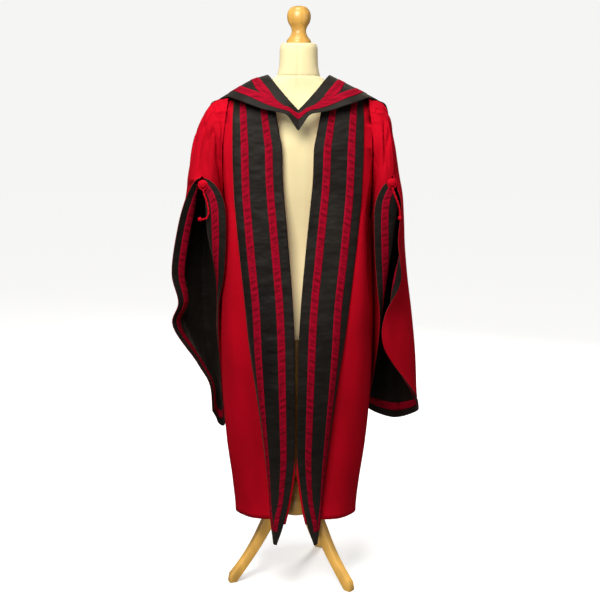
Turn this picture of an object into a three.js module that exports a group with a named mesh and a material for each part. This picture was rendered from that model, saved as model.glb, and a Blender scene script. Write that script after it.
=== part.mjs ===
// A doctoral gown with its hood, hung on a limbless dress form on a wooden tripod stand.
// Millimetres, +Z up, the gown's front towards -Y. Every cloth piece is a thin closed wall.
import * as THREE from 'three';

// Cloth and ribbon
const CLOTH = 1.4; // wall of the gown and hood cloth
const RIBBON = 0.9; // wall of the velvet ribbon
const GAP = 0.3; // clearance between pieces that are sewn together
const ON_CLOTH = CLOTH + GAP; // from the middle of one cloth wall to the next one on it
const ON_RIBBON = CLOTH / 2 + GAP + RIBBON / 2;
const FACING_LIFT = 2.5; // the facing's middle off the red front's middle, with room at the turns

// The striped band: border, ribbon, middle, ribbon, border, from the front edge outwards
const BAND_WIDTH = 136;
const BAND_EDGES = [0, 26, 46, 68, 90, 110, 136];
const FIRST_RIBBON = [1, 2];
const SECOND_RIBBON = [4, 5];
const FACING_POINT_SHARES = [0, 0.26, 0.485, 0.5, 0.515, 0.74, 1]; // the columns at the point
const FACING_TRIM = 4; // the facing's outer edge lies this far inside the red front's turn

// Heights of the gown
const HEM = 220;
const UNDERARM = 1120;
const YOKE_SEAM = 1335;
const POINT_TOP = 300; // where the facing starts to close to its point
const RIBBONS_MEET = 196;
const POINT = 153;

// The shoulder: cloth rolls over the ridge within this drop
const FRONT_ROLL = 70;
const BACK_ROLL = 90;
const RIDGE_SEAT = 1.6; // middle of the cloth above the form's shoulder
const NECK_HALF = 77;
const NECK_BACK = 72;
const SHOULDER = 190;
const SHOULDER_LOW = 1426; // the form's rows from here up to the neck give the shoulder's slope
const NECK_ROOT = 60;
const RIDGE_NORMAL = { out: 0.5, up: 0.87 };
const RIDGE_PASSES = 4;
const SHARPEST_TURN = 0.75; // limits how far a wall's corner is drawn out at a sharp fold

// The dress form, a row for each level: half width, front depth and back depth
const FORM = [
  { z: 752, half: 150, front: 98, back: 106 },
  { z: 772, half: 160, front: 104, back: 113 },
  { z: 860, half: 168, front: 108, back: 120 },
  { z: 950, half: 150, front: 100, back: 104 },
  { z: 1035, half: 132, front: 93, back: 88 },
  { z: 1120, half: 142, front: 98, back: 90 },
  { z: 1215, half: 160, front: 104, back: 97 },
  { z: 1290, half: 170, front: 101, back: 101 },
  { z: 1350, half: 178, front: 88, back: 98 },
  { z: 1395, half: 181, front: 74, back: 88 },
  { z: 1426, half: 172, front: 63, back: 78 },
  { z: 1444, half: 140, front: 57, back: 71 },
  { z: 1463, half: 105, front: 54, back: 65 },
  { z: 1480, half: 76, front: 53, back: 60 },
  { z: 1494, half: 60, front: 52, back: 57 },
  { z: 1530, half: 54, front: 51, back: 53 },
  { z: 1568, half: 53, front: 50, back: 52 },
  { z: 1579, half: 49, front: 46, back: 48 },
];
const FORM_SIDES = 24;
const FORM_SQUARENESS = 2.3;

// The stand
const POLE_RADIUS = 17;
const POLE_SIDES = 16;
const KNOB_SIDES = 16;
const HUB_SIDES = 20;
const HUB_PROFILE = [[0, 198], [37, 198], [41, 210], [39, 240], [31, 262], [28, 290], [22, 304], [0, 304]];
const KNOB_PROFILE = [
  [0, 1579], [34, 1579], [34, 1586], [24, 1600], [20, 1612], [22, 1622], [30, 1636],
  [33, 1650], [31, 1664], [22, 1676], [10, 1680], [0, 1680],
];
const LEG_ANGLES = { leg_left: -70, leg_right: 53, leg_rear: 157 }; // from the front, towards +X
const LEG_THICK = 25;
const LEG_ROOT = 39.5;
const LEG_CLEAR = 1; // the leg's end off its root line, clear of the round hub
const LEG_TOE = 4;
const LEG_LINE = [ // along the leg from the hub: reach, middle height, depth of the board
  { reach: 0, z: 236, depth: 46 },
  { reach: 30, z: 204, depth: 41 },
  { reach: 54, z: 168, depth: 36 },
  { reach: 77, z: 127, depth: 31 },
  { reach: 101, z: 89, depth: 28 },
  { reach: 130, z: 49, depth: 27 },
  { reach: 160, z: 16, depth: 24 },
];

// The gown's front, half of it, a row for each level.
// edge: the front edge; wrap: the facing's outer edge; bow: how far forward the red front swells;
// side: the armhole above the underarm and the side seam below it.
const FRONT = [
  { z: 1482, edgeX: 77, edgeY: -80, wrapX: 186, wrapY: -80, bow: -80, sideX: 190, sideY: -2 },
  { z: 1440, edgeX: 70, edgeY: -93, wrapX: 182, wrapY: -86, bow: -86, sideX: 190, sideY: -4 },
  { z: 1390, edgeX: 61, edgeY: -106, wrapX: 180, wrapY: -98, bow: -98, sideX: 199, sideY: -50 },
  { z: 1330, edgeX: 50, edgeY: -114, wrapX: 180, wrapY: -103, bow: -104, sideX: 204, sideY: -70 },
  { z: 1290, edgeX: 43, edgeY: -118, wrapX: 180, wrapY: -106, bow: -108, sideX: 205, sideY: -72 },
  { z: 1214, edgeX: 41, edgeY: -122, wrapX: 178, wrapY: -109, bow: -112, sideX: 205, sideY: -56 },
  { z: 1150, edgeX: 36, edgeY: -126, wrapX: 175, wrapY: -111, bow: -116, sideX: 204, sideY: -20 },
  { z: 1120, edgeX: 33, edgeY: -129, wrapX: 172, wrapY: -112, bow: -118, sideX: 204, sideY: 0 },
  { z: 1000, edgeX: 22, edgeY: -138, wrapX: 160, wrapY: -116, bow: -126, sideX: 208, sideY: 0 },
  { z: 860, edgeX: 11, edgeY: -145, wrapX: 145, wrapY: -122, bow: -128, sideX: 214, sideY: 0 },
  { z: 730, edgeX: 5, edgeY: -150, wrapX: 131, wrapY: -112, bow: -124, sideX: 217, sideY: 0 },
  { z: 595, edgeX: 4, edgeY: -154, wrapX: 112, wrapY: -90, bow: -116, sideX: 214, sideY: 0 },
  { z: 440, edgeX: 3.5, edgeY: -157, wrapX: 92, wrapY: -74, bow: -112, sideX: 203, sideY: 0 },
  { z: 315, edgeX: 16, edgeY: -158, wrapX: 76, wrapY: -70, bow: -112, sideX: 186, sideY: 0 },
  { z: 220, edgeX: 34, edgeY: -155, wrapX: 69, wrapY: -84, bow: -112, sideX: 177, sideY: 0 },
  { z: 153, edgeX: 54, edgeY: -146, wrapX: 62, wrapY: -138, bow: -140, sideX: 180, sideY: 0 },
];
// Columns of the red front beside the facing: share of the way to the side, and where each one starts
const RED_COLUMNS = [
  { share: 0.1, top: 1427 },
  { share: 0.26, top: 1392 },
  { share: 0.43, top: 1330 },
  { share: 0.61, top: 1250 },
  { share: 0.8, top: 1170 },
  { share: 1, top: UNDERARM },
];
const SPREAD_BY = 1070; // below this height the columns have spread evenly round the side
const FRONT_ROWS = [
  0, 0.0012, 0.005, 0.016, 0.036, 0.065, 0.11, 0.17, 0.24, 0.31,
  0.39, 0.47, 0.55, 0.63, 0.71, 0.79, 0.86, 0.93, 1,
];
const POINT_ROWS = [212, RIBBONS_MEET, 176, POINT];
const RED_EDGE = { from: 430, full: 370, width: 6 }; // the red cloth that shows past the facing low down

// The gown's back, half of it, a row for each level
const BACK = [
  { z: 1482, sideX: 190, sideY: 54, backY: 86 },
  { z: 1440, sideX: 191, sideY: 58, backY: 98 },
  { z: 1390, sideX: 198, sideY: 64, backY: 110 },
  { z: 1335, sideX: 203, sideY: 74, backY: 120 },
  { z: 1290, sideX: 205, sideY: 76, backY: 124 },
  { z: 1214, sideX: 205, sideY: 58, backY: 128 },
  { z: 1150, sideX: 204, sideY: 22, backY: 132 },
  { z: 1120, sideX: 204, sideY: 0, backY: 134 },
  { z: 1000, sideX: 208, sideY: 0, backY: 140 },
  { z: 860, sideX: 214, sideY: 0, backY: 150 },
  { z: 730, sideX: 217, sideY: 0, backY: 158 },
  { z: 595, sideX: 214, sideY: 0, backY: 166 },
  { z: 440, sideX: 203, sideY: 0, backY: 172 },
  { z: 315, sideX: 186, sideY: 0, backY: 176 },
  { z: 220, sideX: 177, sideY: 0, backY: 178 },
];
const YOKE_END = 0.8; // share of the half back that hangs from the yoke; the rest hangs from the armhole
const YOKE_COLUMNS = [1, 0.85, 0.7, 0.55, 0.4, 0.3, 0.2, 0.1, 0];
const YOKE_ROWS = [0, 0.012, 0.04, 0.12, 0.25, 0.45, 0.7, 1];
const BACK_ROWS = [0, 0.05, 0.11, 0.18, 0.27, 0.37, 0.48, 0.6, 0.72, 0.84, 0.93, 1];

// Folds of the skirt, from the yoke or underarm to the hem; at and width are shares of the panel
const BACK_FOLDS = [
  { at: -0.84, width: 0.1, top: 1, hem: 12 },
  { at: -0.6, width: 0.13, top: 3, hem: 20 },
  { at: -0.34, width: 0.12, top: 2, hem: 17 },
  { at: -0.1, width: 0.13, top: 3, hem: 21 },
  { at: 0.16, width: 0.11, top: 2, hem: 16 },
  { at: 0.4, width: 0.14, top: 3, hem: 21 },
  { at: 0.64, width: 0.11, top: 2, hem: 18 },
  { at: 0.86, width: 0.1, top: 1, hem: 11 },
];
const FRONT_FOLDS = [
  { at: 0.32, width: 0.2, top: 0, hem: 4 },
  { at: 0.72, width: 0.18, top: 2, hem: 8 },
];
const FRONT_STILL = 6; // the folds die out over one part in this many by the side seam
const BACK_STILL = 8;
const GATHERS = { count: 16, depth: 3, atSeam: 0.5, fade: 190 };

// The sleeves, a row for each section from the armhole to the edge.
// lip: the front edge of the slit; fold: where that edge turns out; inner, back, outer: round the arm;
// backFold and backLip: the same for the slit's other edge. X is the distance out from the middle.
const ARMHOLE = {
  lip: [199, -70, 1391], fold: [207, -86, 1300], inner: [214, 2, 1112], back: [209, 93.3, 1272],
  outer: [196, 3, 1427.5], backFold: [197, -40, 1418], backLip: [199, -70, 1392],
};
const LEFT_SLEEVE = [
  ARMHOLE,
  {
    lip: [236, -90, 1384], fold: [226, -106, 1296], inner: [219, 2, 1098], back: [224, 110, 1258],
    outer: [240, 2, 1411], backFold: [242, -52, 1402], backLip: [237, -90, 1385],
  },
  {
    lip: [258, -100, 1308], fold: [231, -110, 1262], inner: [221, 2, 1084], back: [246, 114, 1215],
    outer: [286, 0, 1330], backFold: [280, -68, 1317], backLip: [259, -100, 1309],
  },
  {
    lip: [263, -103, 1216], fold: [244, -110, 1190], inner: [222, 0, 1066], back: [262, 116, 1150],
    outer: [314, 0, 1205], backFold: [298, -76, 1212], backLip: [265, -103, 1217],
  },
  {
    lip: [203, -122, 1150], fold: [252, -106, 1146], inner: [224, -12, 1042], back: [270, 120, 1100],
    outer: [330, -4, 1140], backFold: [326, -48, 1147], backLip: [318, -80, 1150],
  },
  {
    lip: [198, -118, 1070], fold: [250, -100, 1066], inner: [226, -8, 1000], back: [276, 122, 1030],
    outer: [336, 10, 1060], backFold: [335, -30, 1067], backLip: [337, -68, 1070],
  },
  {
    lip: [206, -92, 935], fold: [226, -72, 932], inner: [223, 58, 905], back: [286, 126, 915],
    outer: [346, 22, 928], backFold: [350, -20, 932], backLip: [358, -60, 935],
  },
  {
    lip: [224, -46, 848], fold: [230, -24, 845], inner: [222, 72, 832], back: [286, 130, 832],
    outer: [338, 42, 842], backFold: [338, -6, 848], backLip: [333, -50, 850],
  },
  {
    lip: [230, -10, 770], fold: [234, 8, 765], inner: [222, 80, 752], back: [280, 134, 748],
    outer: [332, 70, 765], backFold: [348, 12, 780], backLip: [360, -42, 788],
  },
  {
    lip: [229, 40, 640], fold: [228, 58, 635], inner: [228, 88, 626], back: [262, 136, 618],
    outer: [286, 106, 628], backFold: [291, 72, 636], backLip: [292, 42, 642],
  },
  {
    lip: [226, 66, 576], fold: [226, 82, 568], inner: [227, 104, 560], back: [243, 142, 552],
    outer: [257, 128, 556], backFold: [263, 100, 566], backLip: [264, 72, 576],
  },
  {
    lip: [222, 98, 492], fold: [221, 108, 476], inner: [221, 120, 456], back: [228, 144, 420],
    outer: [242, 144, 426], backFold: [252, 126, 452], backLip: [260, 104, 480],
  },
];
const RIGHT_SLEEVE = [
  ARMHOLE,
  {
    lip: [236, -90, 1384], fold: [226, -106, 1296], inner: [219, 2, 1098], back: [224, 110, 1258],
    outer: [240, 2, 1410], backFold: [241, -52, 1400], backLip: [237, -90, 1385],
  },
  {
    lip: [256, -100, 1308], fold: [229, -110, 1262], inner: [221, 2, 1084], back: [240, 114, 1215],
    outer: [260, 0, 1326], backFold: [266, -68, 1314], backLip: [257, -100, 1309],
  },
  {
    lip: [261, -103, 1222], fold: [240, -110, 1192], inner: [222, 0, 1066], back: [256, 116, 1150],
    outer: [283, 0, 1212], backFold: [281, -72, 1216], backLip: [262, -103, 1223],
  },
  {
    lip: [219, -122, 1150], fold: [274, -102, 1148], inner: [213, 44, 1045], back: [258, 122, 1105],
    outer: [291, 5, 1144], backFold: [298, -74, 1148], backLip: [288, -116, 1150],
  },
  {
    lip: [216, -118, 1042], fold: [266, -96, 1040], inner: [211, 66, 990], back: [266, 128, 1012],
    outer: [306, 6, 1036], backFold: [304, -72, 1040], backLip: [283, -110, 1042],
  },
  {
    lip: [229, -100, 925], fold: [250, -80, 922], inner: [215, 74, 890], back: [276, 132, 900],
    outer: [321, 8, 918], backFold: [274, -82, 923], backLip: [294, -102, 925],
  },
  {
    lip: [236, -76, 826], fold: [242, -52, 822], inner: [218, 80, 798], back: [286, 136, 800],
    outer: [335, 8, 818], backFold: [266, -80, 824], backLip: [250, -94, 826],
  },
  {
    lip: [236, -48, 732], fold: [237, -26, 728], inner: [220, 86, 700], back: [294, 138, 690],
    outer: [347, 6, 712], backFold: [272, -74, 728], backLip: [248, -78, 736],
  },
  {
    lip: [222, 36, 560], fold: [219, 60, 535], inner: [222, 92, 497], back: [300, 118, 460],
    outer: [366, 46, 502], backFold: [362, -16, 545], backLip: [349, -42, 584],
  },
];
const SLEEVE_EDGE = [0, 20, 41]; // the border and the ribbon, measured from the slit's edges
const SLEEVE_COLUMNS = 18;
const TURN_WEIGHT = 26; // a radian of turn counts as this much length when the columns are spaced
const SLEEVE_ROWS = [0, 0.35, 0.8, 1.3, 2, 3, 3.2, 3.5, 4, 5, 5.5, 6, 7, 8, 9, 10];
const ROWS_ABOVE_HEM = 0.6; // no plain row is closer than this, in sections, to the sleeve's edge
const LINING_FROM = 3.2;
const HEM_RIBBON_TRIM = 1; // where the ribbon along the edge meets the ribbons along the slit
const SLEEVE_EDGE_SHARE = [0, 0.1, 0.2]; // most that they take of a narrow section
const SLEEVE_SAMPLES = 150;
const HEAD_GATHERS = { depth: 5, atSeam: 0.4, rows: 1.6, round: 0.5 };

// The hood, half of it, from the point of its front over the shoulder to the middle of the back;
// the sheets run the other way, so that their right side is outside.
// inside: the edge by the neck; outside: the band's other edge; hem: the lower edge of the back.
const HOOD = [
  { inside: [0.3, -134, 1397], outside: [0.3, -158, 1343] },
  { inside: [22, -128, 1420], outside: [40, -150, 1377] },
  { inside: [50, -104, 1452], outside: [98, -140, 1400] },
  { inside: [70, -64, 1476], outside: [150, -128, 1418] },
  { inside: [84, -16, 1492], outside: [188, -76, 1430] },
  { inside: [90, 22, 1492], outside: [204, -12, 1432], hem: [222, -4, 1426] },
  { inside: [94, 62, 1474], outside: [232, 44, 1418], hem: [254, 52, 1408] },
  { inside: [88, 112, 1400], outside: [236, 118, 1334], hem: [268, 124, 1290] },
  { inside: [68, 152, 1275], outside: [190, 164, 1180], hem: [236, 170, 1080] },
  { inside: [36, 174, 1155], outside: [108, 190, 1042], hem: [140, 194, 905] },
  { inside: [0.3, 182, 1110], outside: [0.3, 200, 972], hem: [0.3, 202, 810] },
];
const HOOD_SHARES = [0, 0.21, 0.36, 0.48, 0.6, 0.77, 1]; // the band's columns at the shoulder and the back
const HOOD_POINT_SHARES = [0, 0.2, 0.4, 0.43, 0.46, 0.62, 1]; // and at the front point
const HOOD_STEPS = 2; // rows between two stations
const HOOD_OPEN = 4; // stations over which the band opens from its front point
const HOOD_SWELL = { left: 8, right: 2 }; // how far the rolled band's middle stands up
const HOOD_SKIRT = [0, 0.35, 0.7, 1]; // columns from the band down to the lower edge
const HOOD_LINING_COLUMNS = [1, 0.6, 0.2, -0.2, -0.6, -1];
const HOOD_BACK_FROM = 6;
const HOOD_LINING_DIP = 19;

// Buttons and their cords
const BUTTON = { radius: 11, thick: 7, sides: 12, rings: 6 };
const LOOP = { radius: 13.6, tube: 2.1, sides: 5, segments: 14 };
const CORD = { diameter: 5, sides: 8, step: 10 };
const KNOT = { radius: 5.5, sides: 8, rings: 5 };
const FASTENINGS = {
  left: {
    button: [-261, -113, 1195],
    cord: [
      [-260, -115.6, 1179.5], [-257, -118, 1166], [-252, -118, 1152], [-248, -118, 1136],
      [-246, -118, 1120], [-248, -118, 1108], [-255, -118, 1100], [-264, -118, 1098],
    ],
    knot: [-270, -118, 1098.4],
  },
  right: {
    button: [259, -114.5, 1203],
    cord: [
      [261, -117, 1187.4], [265, -122, 1174], [271, -126, 1160],
      [277, -128, 1144], [281, -128, 1128], [282, -128, 1112],
    ],
    knot: [282, -128, 1106.2],
  },
};

const finish = (color, roughness) => new THREE.MeshStandardMaterial({ color, roughness, metalness: 0 });
const RED = finish(0xc4101f, 0.75);
const BLACK = finish(0x23211f, 0.8);
const CRIMSON = finish(0x97031f, 0.95);
const CREAM = finish(0xefe2b6, 0.85);
const WOOD = finish(0xd6a24a, 0.45);

const part = new THREE.Group();

function add(name, geometry, material) {
  const mesh = new THREE.Mesh(geometry, material);
  mesh.name = name;
  part.add(mesh);
  return mesh;
}

const lerp = THREE.MathUtils.lerp;
const clamp01 = (value) => THREE.MathUtils.clamp(value, 0, 1);
const smooth = (value) => THREE.MathUtils.smoothstep(value, 0, 1);
const vector = (values) => new THREE.Vector3(...values);
const curveThrough = (points) => new THREE.CatmullRomCurve3(points, false, 'centripetal');

// A named column of a table as a smooth function of the height, without overshoot.
function levels(table, name) {
  const rows = [...table].sort((a, b) => a.z - b.z);
  const slope = rows.slice(1).map((r, i) => (r[name] - rows[i][name]) / (r.z - rows[i].z));
  const tangent = rows.map((_, i) => {
    const [before, after] = [slope[i - 1], slope[i]];
    if (before === undefined) return after;
    if (after === undefined) return before;
    return before * after <= 0 ? 0 : (2 * before * after) / (before + after);
  });
  return (z) => {
    const last = rows.length - 1;
    if (z <= rows[0].z) return rows[0][name];
    if (z >= rows[last].z) return rows[last][name];
    const i = rows.findIndex((r) => r.z > z) - 1;
    const step = rows[i + 1].z - rows[i].z;
    const t = (z - rows[i].z) / step;
    const ease = t * t * (3 - 2 * t);
    return lerp(rows[i][name], rows[i + 1][name], ease)
      + step * (t * (1 - t) ** 2 * tangent[i] - t * t * (1 - t) * tangent[i + 1]);
  };
}

function allLevels(table) {
  const names = Object.keys(table[0]).filter((name) => name !== 'z');
  const columns = Object.fromEntries(names.map((name) => [name, levels(table, name)]));
  return (z) => Object.fromEntries(names.map((name) => [name, columns[name](z)]));
}

// A sheet of cloth: rows of points from top to bottom, columns anticlockwise seen from above,
// and at each point the direction out of the cloth's right side.
class Sheet {
  constructor(points, normals) {
    this.points = points;
    this.normals = normals ?? Sheet.normalsOf(points);
  }

  static normalsOf(points) {
    const sums = points.map((row) => row.map(() => []));
    for (let i = 0; i + 1 < points.length; i++) {
      for (let j = 0; j + 1 < points[0].length; j++) {
        const corners = [[i, j], [i + 1, j], [i + 1, j + 1], [i, j + 1]];
        const [a, d, c, b] = corners.map(([r, k]) => points[r][k]);
        const down = d.clone().sub(a).add(c).sub(b);
        const along = b.clone().sub(a).add(c).sub(d);
        const facet = down.cross(along).normalize();
        corners.forEach(([r, k]) => sums[r][k].push(facet));
      }
    }
    return sums.map((row) => row.map((facets) => {
      const mean = facets.reduce((sum, n) => sum.add(n), new THREE.Vector3()).normalize();
      const share = facets.reduce((sum, n) => sum + n.dot(mean), 0) / facets.length;
      return mean.divideScalar(Math.max(share, SHARPEST_TURN));
    }));
  }

  rowsAndColumns(firstRow, lastRow, firstColumn, lastColumn) {
    const across = (row) => row.slice(firstColumn, lastColumn + 1);
    const cut = (grid) => grid.slice(firstRow, lastRow + 1).map(across);
    return new Sheet(cut(this.points), cut(this.normals));
  }

  columns(first, last) {
    return this.rowsAndColumns(0, this.points.length - 1, first, last);
  }

  rows(first, last) {
    return this.rowsAndColumns(first, last, 0, this.points[0].length - 1);
  }

  // The same sheet moved along its normals, by one distance or by one for each point.
  lifted(distance) {
    const by = typeof distance === 'function' ? distance : () => distance;
    const moved = (p, i, j) => p.clone().addScaledVector(this.normals[i][j], by(i, j));
    return new Sheet(this.points.map((row, i) => row.map((p, j) => moved(p, i, j))), this.normals);
  }

  // The sheet with its edges drawn back along the cloth.
  trimmed({ top = 0, bottom = 0, first = 0, last = 0 }) {
    const points = this.points.map((row) => row.map((p) => p.clone()));
    const back = (p, towards, by) => p.add(towards.clone().sub(p).setLength(by));
    const end = points.length - 1;
    const side = points[0].length - 1;
    if (top) points[0].forEach((p, j) => back(p, points[1][j], top));
    if (bottom) points[end].forEach((p, j) => back(p, points[end - 1][j], bottom));
    if (first) points.forEach((row) => back(row[0], row[1], first));
    if (last) points.forEach((row) => back(row[side], row[side - 1], last));
    return new Sheet(points, this.normals);
  }

  withNormals(choose) {
    const chosen = this.normals.map((row, i) => row.map((n, j) => choose(i, j) ?? n));
    return new Sheet(this.points, chosen);
  }

  // The other half of a symmetric pair.
  mirrored() {
    const across = (p) => new THREE.Vector3(-p.x, p.y, p.z);
    const turn = (grid) => grid.map((row) => row.map(across).reverse());
    return new Sheet(turn(this.points), turn(this.normals));
  }

  // The closed wall of the given thickness, with the sheet in its middle.
  wall(thickness) {
    const faces = [1, -1].map((side) => this.lifted((side * thickness) / 2).points);
    const height = this.points.length;
    const width = this.points[0].length;
    const index = [];
    const at = (face, i, j) => (face * height + i) * width + j;
    const quad = (a, b, c, d) => index.push(a, b, d, b, c, d);
    for (let i = 0; i + 1 < height; i++) {
      for (let j = 0; j + 1 < width; j++) {
        quad(at(0, i, j), at(0, i + 1, j), at(0, i + 1, j + 1), at(0, i, j + 1));
        index.push(at(1, i, j), at(1, i, j + 1), at(1, i + 1, j));
        index.push(at(1, i, j + 1), at(1, i + 1, j + 1), at(1, i + 1, j));
      }
    }
    for (let j = 0; j + 1 < width; j++) {
      const end = height - 1;
      quad(at(0, 0, j), at(0, 0, j + 1), at(1, 0, j + 1), at(1, 0, j));
      quad(at(0, end, j + 1), at(0, end, j), at(1, end, j), at(1, end, j + 1));
    }
    for (let i = 0; i + 1 < height; i++) {
      const end = width - 1;
      quad(at(0, i + 1, 0), at(0, i, 0), at(1, i, 0), at(1, i + 1, 0));
      quad(at(0, i, end), at(0, i + 1, end), at(1, i + 1, end), at(1, i, end));
    }
    const position = faces.flat(2).flatMap((p) => p.toArray());
    return new THREE.BufferGeometry()
      .setAttribute('position', new THREE.Float32BufferAttribute(position, 3))
      .setIndex(index);
  }
}

// A solid through rings of equal counts of points, from bottom to top, closed at both ends.
function loft(rings) {
  const count = rings[0].length;
  const position = rings.flat().flatMap((p) => p.toArray());
  const index = [];
  for (let i = 0; i + 1 < rings.length; i++) {
    for (let j = 0; j < count; j++) {
      const next = (j + 1) % count;
      const [a, b] = [i * count + j, i * count + next];
      index.push(a, b, b + count, a, b + count, a + count);
    }
  }
  const top = (rings.length - 1) * count;
  for (let j = 1; j + 1 < count; j++) {
    index.push(0, j + 1, j);
    index.push(top, top + j, top + j + 1);
  }
  return new THREE.BufferGeometry()
    .setAttribute('position', new THREE.Float32BufferAttribute(position, 3))
    .setIndex(index);
}

function turned(profile, segments) {
  const points = profile.map(([radius, z]) => new THREE.Vector2(radius, z));
  const geometry = new THREE.LatheGeometry(points, segments);
  return geometry.rotateX(Math.PI / 2);
}

// Dress form and stand

function formRing({ z, half, front, back }) {
  const power = 2 / FORM_SQUARENESS;
  return Array.from({ length: FORM_SIDES }, (_, i) => {
    const angle = (2 * Math.PI * i) / FORM_SIDES;
    const [c, s] = [Math.cos(angle), Math.sin(angle)];
    const depth = s < 0 ? front : back;
    return new THREE.Vector3(
      half * Math.sign(c) * Math.abs(c) ** power,
      depth * Math.sign(s) * Math.abs(s) ** power,
      z,
    );
  });
}

// Height of the form's shoulder at a distance out from the middle.
function shoulderRidge(x) {
  const slope = FORM.filter((row) => row.z >= SHOULDER_LOW && row.half >= NECK_ROOT);
  const i = Math.max(slope.findIndex((row) => row.half <= x), 1);
  const [low, high] = [slope[i - 1], slope[i]];
  return lerp(high.z, low.z, (x - high.half) / (low.half - high.half));
}

// The direction out of the cloth where it lies over the shoulder; side is 1 at +X and -1 at -X.
function ridgeNormal(side) {
  return new THREE.Vector3(RIDGE_NORMAL.out * side, 0, RIDGE_NORMAL.up);
}

function legGeometry() {
  const profile = LEG_LINE.map((row, i) => {
    const before = LEG_LINE[Math.max(i - 1, 0)];
    const after = LEG_LINE[Math.min(i + 1, LEG_LINE.length - 1)];
    const along = new THREE.Vector2(after.reach - before.reach, after.z - before.z).normalize();
    const across = new THREE.Vector2(-along.y, along.x).multiplyScalar(row.depth / 2);
    const middle = new THREE.Vector2(LEG_ROOT + row.reach, row.z);
    return { upper: middle.clone().add(across), lower: middle.clone().sub(across) };
  });
  const last = profile[profile.length - 1];
  const upper = profile.map((p) => p.upper);
  const lower = profile.map((p) => p.lower);
  upper[0].x = LEG_ROOT + LEG_CLEAR;
  lower[0].x = LEG_ROOT + LEG_CLEAR;
  last.lower.y = 0;
  const toe = new THREE.Vector2(last.upper.x + LEG_TOE, 0);
  const outline = new THREE.Shape([...lower, toe, ...upper.reverse()]);
  const geometry = new THREE.ExtrudeGeometry(outline, { depth: LEG_THICK, bevelEnabled: false });
  return geometry.translate(0, 0, -LEG_THICK / 2).rotateX(Math.PI / 2);
}

function buildForm() {
  add('form_torso', loft(FORM.map(formRing)), CREAM);
  add('form_knob', turned(KNOB_PROFILE.map(([r, z]) => [r, z + GAP]), KNOB_SIDES), WOOD);
  const poleTop = FORM[0].z - GAP;
  const poleBottom = HUB_PROFILE[HUB_PROFILE.length - 1][1] + GAP;
  const pole = new THREE.CylinderGeometry(POLE_RADIUS, POLE_RADIUS, poleTop - poleBottom, POLE_SIDES);
  add('stand_pole', pole.rotateX(Math.PI / 2).translate(0, 0, (poleTop + poleBottom) / 2), WOOD);
  add('stand_hub', turned(HUB_PROFILE, HUB_SIDES), WOOD);
  for (const [name, angle] of Object.entries(LEG_ANGLES)) {
    const leg = add(name, legGeometry(), WOOD);
    leg.rotation.z = THREE.MathUtils.degToRad(angle - 90);
  }
}

// Gown body

const frontAt = allLevels(FRONT);
const backAt = allLevels(BACK);
const roll = (drop, within) => Math.sqrt(1 - (1 - clamp01(drop / within)) ** 2);
const plan = (x, y) => new THREE.Vector2(x, y);

// Shares of the facing's width for its columns: even stripes that close on each other at the point.
function facingShares(z) {
  const open = BAND_EDGES.map((edge) => edge / BAND_WIDTH);
  const closing = smooth((POINT_TOP - z) / (POINT_TOP - RIBBONS_MEET));
  return open.map((share, i) => lerp(share, FACING_POINT_SHARES[i], closing));
}

function facingPlan(z) {
  const { edgeX, edgeY, wrapX, wrapY } = frontAt(z);
  return new THREE.QuadraticBezierCurve(plan(edgeX, edgeY), plan(wrapX, edgeY), plan(wrapX, wrapY));
}

function redPlan(z) {
  const { wrapX, wrapY, bow, sideX, sideY } = frontAt(z);
  return new THREE.QuadraticBezierCurve(plan(wrapX, wrapY), plan(sideX, bow), plan(sideX, sideY));
}

function backPlan(z) {
  const { sideX, sideY, backY } = backAt(z);
  return new THREE.QuadraticBezierCurve(plan(0, backY), plan(sideX, backY), plan(sideX, sideY));
}

const topOfColumn = (share) => {
  let z = FRONT[0].z;
  for (let pass = 0; pass < RIDGE_PASSES; pass++) {
    z = shoulderRidge(facingPlan(z).getPointAt(share).x) + RIDGE_SEAT;
  }
  return z;
};

const FACING_TOPS = BAND_EDGES.map((edge) => topOfColumn(edge / BAND_WIDTH));

function facingPoint(column, z) {
  const point = facingPlan(z).getPointAt(facingShares(z)[column]);
  return new THREE.Vector3(point.x, point.y * roll(FACING_TOPS[column] - z, FRONT_ROLL), z);
}

function redPoint({ share, top }, z) {
  const spread = smooth((z - SPREAD_BY) / (top - SPREAD_BY));
  const point = redPlan(z).getPointAt(lerp(share, 1, spread));
  return new THREE.Vector3(point.x, point.y, z);
}

function foldDepth(folds, at, fall) {
  return folds.reduce((sum, fold) => {
    const across = (at - fold.at) / fold.width;
    return sum + lerp(fold.top, fold.hem, fall) * Math.exp(-across * across);
  }, 0);
}

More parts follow.
